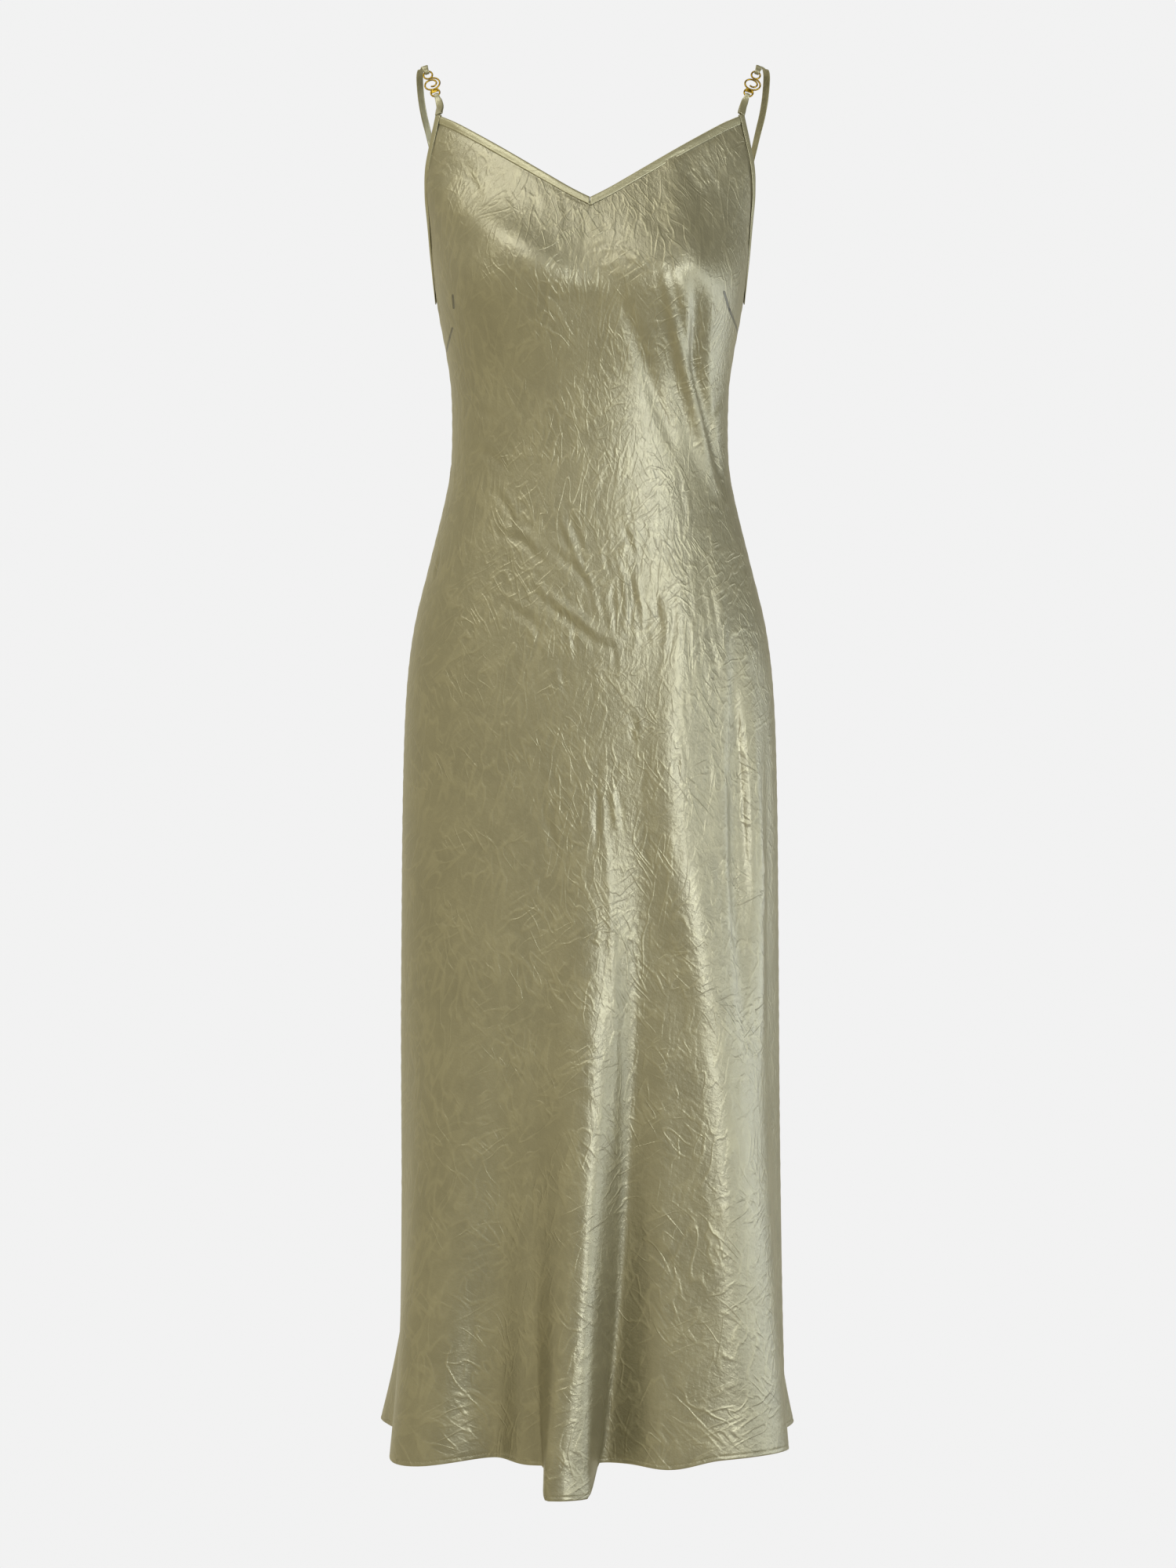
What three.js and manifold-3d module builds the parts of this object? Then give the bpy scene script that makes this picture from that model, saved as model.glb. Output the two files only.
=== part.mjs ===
// Bias-cut satin slip dress with a V neck, bound edges, thin straps and a wire scroll link on each
// strap. It keeps the hollow form it has when worn. Millimetres, +Z up, the front faces -Y, and the
// origin lies midway between the tops of the straps, where a wearer's shoulders hold the dress up.
import * as THREE from "three";
import { mergeVertices } from "three/addons/utils/BufferGeometryUtils.js";
import Module from "manifold-3d";

// Driving dimensions, in millimetres and degrees.
const CLOTH_THICK = 1.5; // wall of the front and back panels
const HEM_THICK = 2.4; // wall where the hem is turned up twice
const HEM_TURN = 7; // height of the turned hem
const SEAM_GAP = 0.3; // between pieces that are sewn together
const BINDING_WIDE = 7; // bound neck and armhole edges
const STRAP_WIDE = 6.4;
const STRAP_THICK = 1.2;
const LOOP_WIDE = 4.2; // where a strap is gathered through a link's eye
const WIRE = 1.6; // diameter of the link's wire
const SPIRAL_HIGH = 6.6; // from the spiral's middle to its outer end
const SPIRAL_OVAL = 1.2; // how much wider than high it is
const SPIRAL_TURNS = 1.6;
const EYE_RADIUS = 4;
const PLATE_THICK = 0.8; // of the plate in the upper half of the lower eye
const YOKE_Z = -236; // below this level the panels' rows are level
const HEM_Z = -1256;

// The oval that the cloth follows at each level: half its width, how far it reaches to the front
// and to the back of the side seams, and how square it is (2 is an ellipse).
const SECTIONS = [
  { z: -30, half: 154, front: 76, back: 84, square: 2.3 },
  { z: -61, half: 156, front: 83, back: 90, square: 2.3 },
  { z: -85, half: 159, front: 91, back: 95, square: 2.3 },
  { z: -110, half: 158, front: 99, back: 99, square: 2.3 },
  { z: -150, half: 151, front: 112, back: 102, square: 2.35 },
  { z: -190, half: 144.5, front: 122, back: 103, square: 2.45 },
  { z: -212, half: 141, front: 124, back: 102, square: 2.45 },
  { z: -236, half: 137, front: 121, back: 98, square: 2.4 },
  { z: -262, half: 132, front: 117, back: 94, square: 2.3 },
  { z: -295, half: 127.5, front: 111.5, back: 88, square: 2.2 },
  { z: -340, half: 126.5, front: 108, back: 84, square: 2.2 },
  { z: -370, half: 128, front: 107.5, back: 88, square: 2.2 },
  { z: -400, half: 133.5, front: 108.5, back: 95, square: 2.2 },
  { z: -455, half: 147, front: 111.5, back: 108, square: 2.2 },
  { z: -513, half: 161, front: 115, back: 118, square: 2.2 },
  { z: -570, half: 168, front: 118, back: 123, square: 2.2 },
  { z: -660, half: 171.5, front: 122, back: 126, square: 2.2 },
  { z: -800, half: 173, front: 129, back: 130, square: 2.15 },
  { z: -950, half: 174, front: 139, back: 139, square: 2.1 },
  { z: -1100, half: 176, front: 150, back: 151, square: 2.1 },
  { z: -1190, half: 178, front: 158, back: 160, square: 2.1 },
  { z: -1285, half: 181, front: 167, back: 169, square: 2.1 },
];

// Soft swellings that the bust darts and the cut give: centre, reach each way and height.
const SWELLS = [
  { name: "left cup", angle: -33, z: -198, wide: 23, tall: 52, rise: 13 },
  { name: "right cup", angle: 33, z: -198, wide: 23, tall: 52, rise: 13 },
  { name: "front of hip", angle: 4, z: -560, wide: 42, tall: 120, rise: 5 },
  { name: "left seat", angle: -150, z: -600, wide: 26, tall: 80, rise: 7 },
  { name: "right seat", angle: 150, z: -600, wide: 26, tall: 80, rise: 7 },
];

// Ridges (rise above 0) and troughs that run down the cloth, from the angle and half width that
// they have at the top to those at the end. flat is how much of the width is a level crest there.
// The first group grows all the way to the hem, at first slower the higher the power, and the hem
// hangs lower there by dip. A fold with late keeps its top width longer and steepens near the hem.
const HEM_FOLDS = [
  { name: "left corner", top: -760, from: -54, to: -56, wide: 24, half: 25, flat: 0, rise: 27, dip: 7, power: 1.5 },
  { name: "left hollow", top: -800, from: -30, to: -34, wide: 14, half: 16, flat: 0, rise: -19, dip: -2, power: 1.3 },
  { name: "centre flare", top: -610, from: 2, to: -5.5, wide: 21, half: 9.2, flat: 0.5, rise: 47, dip: 22, power: 1.35, late: 3.5 },
  { name: "centre hollow", top: -740, from: 20, to: 6, wide: 12, half: 14, flat: 0, rise: -26, dip: 1, power: 1.35 },
  { name: "right front", top: -600, from: 47, to: 47.5, wide: 28, half: 37, flat: 0, rise: 36, dip: -6, power: 1.15 },
  { name: "right front point", top: -900, from: 26, to: 24, wide: 9, half: 12, flat: 0, rise: 0, dip: 5, power: 1 },
  { name: "right hollow", top: -820, from: 70, to: 73, wide: 10, half: 13, flat: 0, rise: -7, dip: 0, power: 1.4 },
  { name: "right flare", top: -960, from: 114, to: 116, wide: 15, half: 19, flat: 0, rise: 30, dip: -2, power: 2.4 },
  { name: "right back hollow", top: -820, from: 137, to: 136, wide: 11, half: 13, flat: 0, rise: -14, dip: 0, power: 1.3 },
  { name: "right back flare", top: -700, from: 156, to: 153, wide: 16, half: 13, flat: 0.2, rise: 34, dip: 6, power: 1.4 },
  { name: "back hollow", top: -780, from: 175, to: 176, wide: 11, half: 12, flat: 0, rise: -17, dip: 0, power: 1.3 },
  { name: "left back flare", top: -660, from: 196, to: 199, wide: 17, half: 14, flat: 0.3, rise: 37, dip: 9, power: 1.35 },
  { name: "left back hollow", top: -820, from: 219, to: 220, wide: 11, half: 13, flat: 0, rise: -15, dip: 0, power: 1.3 },
  { name: "left flare", top: -900, from: 240, to: 243, wide: 15, half: 19, flat: 0, rise: 39, dip: -4, power: 2.3 },
  { name: "left side hollow", top: -860, from: 272, to: 273, wide: 10, half: 13, flat: 0, rise: -9, dip: -2, power: 1.6 },
];
// The second group fades out at both ends.
const SHORT_FOLDS = [
  { name: "ridge under cup", top: -188, end: -400, from: 28, to: 62, wide: 7, half: 7, rise: 5 },
  { name: "trough under cup", top: -196, end: -400, from: 37, to: 70, wide: 7, half: 7, rise: -6 },
  { name: "hip trough", top: -520, end: -900, from: 59, to: 53, wide: 6, half: 5.5, rise: -6 },
  { name: "hip ridge", top: -560, end: -940, from: 68, to: 62, wide: 7, half: 7, rise: 4 },
  { name: "back waist trough", top: -230, end: -430, from: 152, to: 140, wide: 9, half: 9, rise: -6 },
  { name: "back waist ridge", top: -250, end: -460, from: 206, to: 214, wide: 10, half: 10, rise: 5 },
];

// Where the front panel's columns gather beside the steep sides of the centre flare at the hem.
const GATHERS = [
  { angle: -11.6, half: 5, pull: 0.75 },
  { angle: 1.1, half: 5, pull: 0.75 },
];

// The neck edges, from the middle to the strap, as distance to the side and height.
const FRONT_NECK = [
  { x: 0, z: -133.5 },
  { x: 16, z: -125 },
  { x: 45, z: -107 },
  { x: 75, z: -88 },
  { x: 102, z: -71 },
  { x: 123, z: -58 },
  { x: 140, z: -49 },
];
const BACK_NECK = [
  { x: 0, z: -196 },
  { x: 35, z: -193 },
  { x: 70, z: -183 },
  { x: 100, z: -168 },
  { x: 134, z: -148 },
];

// The armhole edges from the strap (at 0) to the side seam (at 1): how much of the way round to
// the seam, and the height.
const FRONT_ARMHOLE = [
  { at: 0, round: 0, z: -49 },
  { at: 0.2, round: 0.05, z: -83 },
  { at: 0.45, round: 0.17, z: -125 },
  { at: 0.7, round: 0.28, z: -167 },
  { at: 0.86, round: 0.55, z: -196 },
  { at: 1, round: 1, z: -209 },
];
const BACK_ARMHOLE = [
  { at: 0, round: 0, z: -148 },
  { at: 0.3, round: 0.22, z: -172 },
  { at: 0.65, round: 0.55, z: -196 },
  { at: 1, round: 1, z: -209 },
];

// How each panel is laid out: the turn of its middle, the columns across half of it, how many of
// them end at the neck, and the rows above and below the yoke level.
const FRONT = { turn: 0, columns: 22, neckColumns: 15, upperRows: 7, neck: FRONT_NECK, armhole: FRONT_ARMHOLE };
const BACK = { turn: 180, columns: 17, neckColumns: 11, upperRows: 4, neck: BACK_NECK, armhole: BACK_ARMHOLE };
const ROW_STEP_TOP = 25; // height of a row at the waist
const ROW_STEP_HEM = 44; // and at the hem

// The right strap's middle line, from its link over the shoulder to the back.
const BACK_STRAP = [
  { x: 155.6, y: -7.5, z: -1.6 },
  { x: 158.4, y: 3, z: -0.8 },
  { x: 159.8, y: 12, z: -4.8 },
  { x: 159.8, y: 20, z: -13 },
  { x: 158.8, y: 27, z: -25 },
  { x: 156.6, y: 34, z: -38 },
  { x: 153.2, y: 41, z: -52 },
  { x: 147.6, y: 49, z: -76 },
  { x: 141, y: 56, z: -102 },
];
const LEAN = 3; // how far both back straps hang over to the right
const LINK_LEAN = 1.75; // and both links
const LINK_CENTRE = new THREE.Vector3(146.25, -21, -18); // the right link
const LINK_UP = new THREE.Vector3(0.34, 0.4, 0.85).normalize(); // along the strap
const LINK_FACE = new THREE.Vector3(0.1, -0.88, 0.37); // roughly the way that it faces

const SATIN = { color: 0x9d9776, roughness: 0.42, metalness: 0 };
const SATIN_TRIM = { color: 0xa6a17f, roughness: 0.45, metalness: 0 };
const GOLD = { color: 0xc9962e, roughness: 0.22, metalness: 1 };

const wasm = await Module();
wasm.setup();

const radians = THREE.MathUtils.degToRad;
const degrees = THREE.MathUtils.radToDeg;

// A smooth curve through a table's rows: the value of column y where column x is at.
function through(table, x, y, at) {
  const rising = table[0][x] < table[table.length - 1][x];
  let i = 0;
  while (i < table.length - 2 && (rising ? at > table[i + 1][x] : at < table[i + 1][x])) i += 1;
  const slope = (a, b) => (table[b][y] - table[a][y]) / (table[b][x] - table[a][x]);
  const last = table.length - 1;
  const span = table[i + 1][x] - table[i][x];
  const t = THREE.MathUtils.clamp((at - table[i][x]) / span, 0, 1);
  const start = slope(Math.max(i - 1, 0), i + 1) * span;
  const finish = slope(i, Math.min(i + 2, last)) * span;
  const t2 = t * t;
  const t3 = t2 * t;
  return (
    (2 * t3 - 3 * t2 + 1) * table[i][y] +
    (t3 - 2 * t2 + t) * start +
    (3 * t2 - 2 * t3) * table[i + 1][y] +
    (t3 - t2) * finish
  );
}

const section = (name, z) => through(SECTIONS, "z", name, z);

// The signed difference of two angles, from -180 to 180.
const turnBetween = (a, b) => ((((a - b) % 360) + 540) % 360) - 180;

// How far a fold's slope has come, from 0 at its rim to 1 on its crest.
function crest(share, flat) {
  const slope = Math.max(Math.abs(share) - flat, 0) / (1 - flat);
  return slope < 1 ? Math.cos((Math.PI / 2) * slope) ** 2 : 0;
}

const blend = (a, b, share) => a + (b - a) * share;

// A fold's height at an angle and a height. end is where its second angle and width hold.
function foldHeight(fold, end, angle, z) {
  const along = (fold.top - z) / (fold.top - end);
  if (along <= 0) return 0;
  const down = Math.min(along, 1);
  const away = turnBetween(angle, blend(fold.from, fold.to, down));
  const late = down ** (fold.late ?? 1);
  const shape = crest(away / blend(fold.wide, fold.half, late), (fold.flat ?? 0) * late ** 2);
  if (end === HEM_Z) return fold.rise * shape * Math.min(along, 1.03) ** fold.power;
  return along < 1 ? fold.rise * shape * Math.sin(Math.PI * along) : 0;
}

// How far the cloth stands out of its oval at an angle from the front and a height.
function relief(angle, z) {
  let out = 0;
  for (const s of SWELLS) {
    const across = turnBetween(angle, s.angle) / s.wide;
    const up = (z - s.z) / s.tall;
    out += s.rise * Math.exp(-(across * across + up * up));
  }
  for (const f of HEM_FOLDS) out += foldHeight(f, HEM_Z, angle, z);
  for (const f of SHORT_FOLDS) out += foldHeight(f, f.end, angle, z);
  return out;
}

// A point of the cloth's outside, at an angle from the middle of the front and a height.
function cloth(angle, z) {
  const sine = Math.sin(radians(angle));
  const cosine = Math.cos(radians(angle));
  const reach = section(cosine > 0 ? "front" : "back", z);
  const square = section("square", z);
  const wide = Math.abs(sine / section("half", z)) ** square;
  const deep = Math.abs(cosine / reach) ** square;
  const radius = (wide + deep) ** (-1 / square) + relief(angle, z);
  return new THREE.Vector3(radius * sine, -radius * cosine, z);
}

// The way that the cloth faces there.
function facing(angle, z) {
  const across = cloth(angle + 0.4, z).sub(cloth(angle - 0.4, z));
  const up = cloth(angle, z + 1).sub(cloth(angle, z - 1));
  return across.cross(up).normalize();
}

// The height of the hem at an angle.
function hemHeight(angle) {
  const dips = HEM_FOLDS.map((f) => f.dip * crest(turnBetween(angle, f.to) / f.half, f.flat));
  return HEM_Z - dips.reduce((sum, dip) => sum + dip, 0);
}

// The angle at which the plain oval is so far to the side, measured from the panel's middle.
function angleAtSide(panel, x, z) {
  const reach = section(panel.turn === 0 ? "front" : "back", z);
  const square = section("square", z);
  const share = Math.min(Math.abs(x) / section("half", z), 1) ** square;
  return degrees(Math.atan2(x, reach * (1 - share) ** (1 / square)));
}

// The panel's edge at a column, counted from its middle to plus or minus panel.columns at the side
// seams: first the neck, then the armhole.
function edgeAt(panel, column) {
  const share = Math.abs(column) / panel.neckColumns;
  const side = Math.sign(column);
  const tip = panel.neck[panel.neck.length - 1];
  if (share <= 1) {
    const x = tip.x * share;
    const z = through(panel.neck, "x", "z", x);
    return { angle: panel.turn + side * angleAtSide(panel, x, z), z };
  }
  const at = (Math.abs(column) - panel.neckColumns) / (panel.columns - panel.neckColumns);
  const start = angleAtSide(panel, tip.x, tip.z);
  const angle = start + (90 - start) * through(panel.armhole, "at", "round", at);
  return { angle: panel.turn + side * angle, z: through(panel.armhole, "at", "z", at) };
}

const edgePoint = (panel, column) => {
  const edge = edgeAt(panel, column);
  return cloth(edge.angle, edge.z);
};

// The way into the cloth, square to its edge between a column and the one before or after it.
function inward(panel, column, step) {
  const edge = edgeAt(panel, column);
  const along = edgePoint(panel, column + step).sub(edgePoint(panel, column));
  if (step < 0) along.negate();
  return along.cross(facing(edge.angle, edge.z)).normalize();
}

// The way into the cloth at a column, as long as it takes to be 1 mm from the edge on both sides.
// At a side seam it runs down the seam. only is -1 or 1 to look at one side of the column.
function mitre(panel, column, only = 0) {
  if (Math.abs(column) === panel.columns) return new THREE.Vector3(0, 0, -1);
  if (only) return inward(panel, column, only);
  const before = inward(panel, column, -1);
  const way = before.clone().add(inward(panel, column, 1)).normalize();
  return way.divideScalar(way.dot(before));
}

// The panel's own top edge, which lies inside the binding, as an angle and a height.
function insetEdge(panel, column) {
  const edge = edgeAt(panel, column);
  const point = cloth(edge.angle, edge.z).addScaledVector(mitre(panel, column), BINDING_WIDE + SEAM_GAP);
  const angle = degrees(Math.atan2(point.x, -point.y));
  return { angle: edge.angle + turnBetween(angle, edge.angle), z: point.z };
}

// Adds a mesh from points and faces, turned round if it is inside out.
function bodyMesh(name, points, faces, finish) {
  const position = new Float32Array(points.flatMap((p) => [p.x, p.y, p.z]));
  let volume = 0;
  for (const [a, b, c] of faces) volume += points[a].dot(points[b].clone().cross(points[c]));
  const turned = volume < 0 ? faces.map(([a, b, c]) => [a, c, b]) : faces;
  const geometry = new THREE.BufferGeometry();
  geometry.setAttribute("position", new THREE.BufferAttribute(position, 3));
  geometry.setIndex(turned.flat());
  geometry.computeVertexNormals();
  const mesh = new THREE.Mesh(geometry, new THREE.MeshStandardMaterial(finish));
  mesh.name = name;
  return mesh;
}

// A wall between an outer and an inner grid of points, closed along its four edges.
function wallMesh(name, outer, inner, finish) {
  const rows = outer.length;
  const columns = outer[0].length;
  const points = [...outer.flat(), ...inner.flat()];
  const index = (layer, row, column) => (layer * rows + row) * columns + column;
  const faces = [];
  const quad = (a, b, c, d) => faces.push([a, b, c], [a, c, d]);
  for (let r = 0; r < rows - 1; r += 1)
    for (let c = 0; c < columns - 1; c += 1) {
      quad(index(0, r, c), index(0, r + 1, c), index(0, r + 1, c + 1), index(0, r, c + 1));
      quad(index(1, r, c), index(1, r, c + 1), index(1, r + 1, c + 1), index(1, r + 1, c));
    }
  for (let r = 0; r < rows - 1; r += 1) {
    quad(index(0, r, 0), index(1, r, 0), index(1, r + 1, 0), index(0, r + 1, 0));
    quad(index(0, r + 1, columns - 1), index(1, r + 1, columns - 1), index(1, r, columns - 1), index(0, r, columns - 1));
  }
  for (let c = 0; c < columns - 1; c += 1) {
    quad(index(0, 0, c + 1), index(1, 0, c + 1), index(1, 0, c), index(0, 0, c));
    quad(index(0, rows - 1, c), index(1, rows - 1, c), index(1, rows - 1, c + 1), index(0, rows - 1, c + 1));
  }
  return bodyMesh(name, points, faces, finish);
}

// A closed tube through rings of points that have the same number of points each.
function tubeMesh(name, rings, finish) {
  const sides = rings[0].length;
  const faces = [];
  for (let r = 0; r < rings.length - 1; r += 1)
    for (let s = 0; s < sides; s += 1) {
      const next = (s + 1) % sides;
      const [a, b] = [r * sides + s, r * sides + next];
      faces.push([a, b, b + sides], [a, b + sides, a + sides]);
    }
  const last = (rings.length - 1) * sides;
  for (let s = 1; s < sides - 1; s += 1) faces.push([0, s + 1, s], [last, last + s, last + s + 1]);
  return bodyMesh(name, rings.flat(), faces, finish);
}

// The heights of the rows below the yoke, from 0 at the yoke to 1 at the hem, with rows that grow
// towards the hem and a last one for the turned hem.
function lowerRows() {
  const tall = YOKE_Z - HEM_Z;
  const shares = [];
  for (let down = 0; down < tall - 1.4 * HEM_TURN; ) {
    shares.push(down / tall);
    down += ROW_STEP_TOP + ((ROW_STEP_HEM - ROW_STEP_TOP) * down) / tall;
  }
  return [...shares, 1 - HEM_TURN / tall, 1 - (0.8 * HEM_TURN) / tall, 1];
}

// The angle of a column below the yoke, at a share of the way down to the hem.
function columnAngle(panel, column, share) {
  let angle = (90 * column) / panel.columns;
  if (panel.turn === 0)
    for (const g of GATHERS) {
      const away = angle - g.angle;
      angle -= g.pull * share ** 3 * away * Math.exp(-((away / g.half) ** 2));
    }
  return panel.turn + angle;
}

// A front or back panel, cut in one piece from its neck and armholes to the hem.
function panelMesh(name, panel, finish) {
  const shift = panel.turn === 0 ? -SEAM_GAP / 2 : SEAM_GAP / 2;
  const outer = [];
  const inner = [];
  const addRow = (place, thick) => {
    const rowOut = [];
    const rowIn = [];
    for (let c = -panel.columns; c <= panel.columns; c += 1) {
      const { angle, z } = place(c);
      const point = cloth(angle, z);
      point.y += shift;
      rowOut.push(point);
      rowIn.push(point.clone().addScaledVector(facing(angle, z), -thick));
    }
    outer.push(rowOut);
    inner.push(rowIn);
  };
  for (let r = 0; r < panel.upperRows; r += 1) {
    const share = r / panel.upperRows;
    addRow((column) => {
      const top = insetEdge(panel, column);
      const below = columnAngle(panel, column, 0);
      const angle = top.angle + (below - top.angle) * share;
      return { angle, z: top.z + (YOKE_Z - top.z) * share };
    }, CLOTH_THICK);
  }
  const shares = lowerRows();
  shares.forEach((share, i) => {
    addRow((column) => {
      const angle = columnAngle(panel, column, share);
      return { angle, z: YOKE_Z + (hemHeight(angle) - YOKE_Z) * share };
    }, i < shares.length - 2 ? CLOTH_THICK : HEM_THICK);
  });
  return wallMesh(name, outer, inner, finish);
}

// The section of a binding folded over an edge: how far into the cloth, and how far out of it.
const BINDING_SECTION = [
  { into: 0, out: -0.5 },
  { into: 1, out: 0.8 },
  { into: 6, out: 0.8 },
  { into: 7, out: 0.2 },
  { into: 6.6, out: -2 },
  { into: 1, out: -2 },
];

// One ring of a binding at a column of a panel's edge. only is -1 or 1 where the ring ends the
// binding on that side of a corner. slant moves each point along the edge by so much for each
// millimetre into the cloth, and slide moves the whole ring along it, away from the middle.
function bindingRing(panel, column, only = 0, slant = 0, slide = 0) {
  const edge = edgeAt(panel, column);
  const outside = facing(edge.angle, edge.z);
  const into = mitre(panel, column, only);
  const along = outside.clone().cross(into).normalize();
  if (column < 0) along.negate();
  return BINDING_SECTION.map((p) =>
    cloth(edge.angle, edge.z)
      .addScaledVector(into, p.into)
      .addScaledVector(outside, p.out)
      .addScaledVector(along, slide + slant * p.into),
  );
}

// The last ring of a neck binding, cut off along the side of the armhole binding.
function neckEndRing(panel, side) {
  const column = side * panel.neckColumns;
  const tip = edgePoint(panel, column);
  const neck = edgePoint(panel, column - side).sub(tip);
  const angle = neck.angleTo(edgePoint(panel, column + side).sub(tip));
  const beside = BINDING_WIDE + 2 * SEAM_GAP;
  return bindingRing(panel, column, -side, -1 / Math.tan(angle), -beside / Math.sin(angle));
}

// Half of the front neck binding, mitred at the point of the V.
function frontNeckBinding(name, side, finish) {
  const first = bindingRing(FRONT, 0);
  for (const point of first) point.x = (side * SEAM_GAP) / 2;
  const rings = [first];
  for (let c = 1; c < FRONT.neckColumns; c += 1) rings.push(bindingRing(FRONT, side * c));
  rings.push(neckEndRing(FRONT, side));
  return tubeMesh(name, rings, finish);
}

// The back neck binding, in one piece from strap to strap.
function backNeckBinding(name, finish) {
  const rings = [neckEndRing(BACK, -1)];
  for (let c = 1 - BACK.neckColumns; c < BACK.neckColumns; c += 1) rings.push(bindingRing(BACK, c));
  rings.push(neckEndRing(BACK, 1));
  return tubeMesh(name, rings, finish);
}

// One armhole binding, from the front strap under the arm to the back strap.
function armholeBinding(name, side, finish) {
  const rings = [bindingRing(FRONT, side * FRONT.neckColumns, side)];
  for (let c = FRONT.neckColumns + 1; c <= FRONT.columns; c += 1) rings.push(bindingRing(FRONT, side * c));
  for (let c = BACK.columns - 1; c > BACK.neckColumns; c -= 1) rings.push(bindingRing(BACK, -side * c));
  rings.push(bindingRing(BACK, -side * BACK.neckColumns, -side));
  return tubeMesh(name, rings, finish);
}

// A flat band along a middle line: each station has a point, the way across it and a width.
function bandMesh(name, stations, thick, finish) {
  const rings = stations.map(({ point, across, wide }, i) => {
    const before = stations[Math.max(i - 1, 0)].point;
    const after = stations[Math.min(i + 1, stations.length - 1)].point;
    const along = after.clone().sub(before).normalize();
    const out = across.clone().cross(along).normalize();
    const corner = (w, t) =>
      point.clone().addScaledVector(across, (w * wide) / 2).addScaledVector(out, (t * thick) / 2);
    return [corner(-1, -1), corner(1, -1), corner(1, 1), corner(-1, 1)];
  });
  return tubeMesh(name, rings, finish);
}

// The link's own frame: up along the strap, across it, and the way it faces. side is 1 on the right.
function linkFrame(side) {
  const up = LINK_UP.clone().setX(side * LINK_UP.x);
  const across = up.clone().cross(LINK_FACE.clone().setX(side * LINK_FACE.x)).normalize();
  const face = across.clone().cross(up).normalize();
  const centre = LINK_CENTRE.clone().setX(side * LINK_CENTRE.x + LINK_LEAN);
  return { up, across, face, centre };
}

// The spiral's radius after so many turns from its outer end, which is at the upper eye.
const spiralRadius = (turns) => SPIRAL_HIGH - 1.3 * turns - 0.62 * turns ** 3;

// A flat oval spiral in the link's plane, tightening inwards.
class SpiralCurve extends THREE.Curve {
  getPoint(t, target = new THREE.Vector3()) {
    const turns = SPIRAL_TURNS * t;
    const angle = Math.PI / 2 - 2 * Math.PI * turns;
    const radius = spiralRadius(turns);
    return target.set(SPIRAL_OVAL * radius * Math.cos(angle), radius * Math.sin(angle), 0);
  }
}

function solidOf(geometry) {
  const bare = geometry.clone();
  bare.deleteAttribute("normal");
  bare.deleteAttribute("uv");
  const merged = mergeVertices(bare, 1e-4);
  return new wasm.Manifold(
    new wasm.Mesh({
      numProp: 3,
      vertProperties: new Float32Array(merged.attributes.position.array),
      triVerts: new Uint32Array(merged.index.array),
    }),
  );
}

const EYE_UP = spiralRadius(0) + EYE_RADIUS; // from the middle of the link to its upper eye
const EYE_DOWN = spiralRadius(0.5) + EYE_RADIUS;

// A link: a wire spiral with a round eye above and below, in its own frame. A thin plate fills the
// upper half of the lower eye.
function linkGeometry() {
  const section = new THREE.Shape().absarc(0, 0, WIRE / 2, 0, 2 * Math.PI, false);
  const spiral = new THREE.ExtrudeGeometry(section, {
    steps: 34,
    curveSegments: 3,
    bevelEnabled: false,
    extrudePath: new SpiralCurve(),
  });
  let solid = solidOf(spiral);
  for (const height of [EYE_UP, -EYE_DOWN]) {
    const eye = new THREE.TorusGeometry(EYE_RADIUS, WIRE / 2, 6, 16).translate(0, height, 0);
    solid = solid.add(solidOf(eye));
  }
  const half = new THREE.Shape().absarc(0, 0.4, EYE_RADIUS - 0.2, 0, Math.PI, false);
  const plate = new THREE.ExtrudeGeometry(half, { depth: PLATE_THICK, curveSegments: 10, bevelEnabled: false });
  solid = solid.add(solidOf(plate.translate(0, -EYE_DOWN, -PLATE_THICK / 2)));
  const made = solid.getMesh();
  const geometry = new THREE.BufferGeometry();
  geometry.setAttribute("position", new THREE.BufferAttribute(made.vertProperties, 3));
  geometry.setIndex(new THREE.BufferAttribute(made.triVerts, 1));
  return geometry;
}

// The link on one side, turned into its place. The left one is mirrored.
function linkMesh(name, side) {
  const { up, across, face, centre } = linkFrame(side);
  const placed = linkGeometry().applyMatrix4(
    new THREE.Matrix4().makeBasis(across, up, face).setPosition(centre),
  );
  const points = [];
  const position = placed.attributes.position;
  for (let i = 0; i < position.count; i += 1) points.push(new THREE.Vector3().fromBufferAttribute(position, i));
  const index = placed.index.array;
  const faces = [];
  for (let i = 0; i < index.length; i += 3) faces.push([index[i], index[i + 1], index[i + 2]]);
  return bodyMesh(name, points, faces, GOLD);
}

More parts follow.
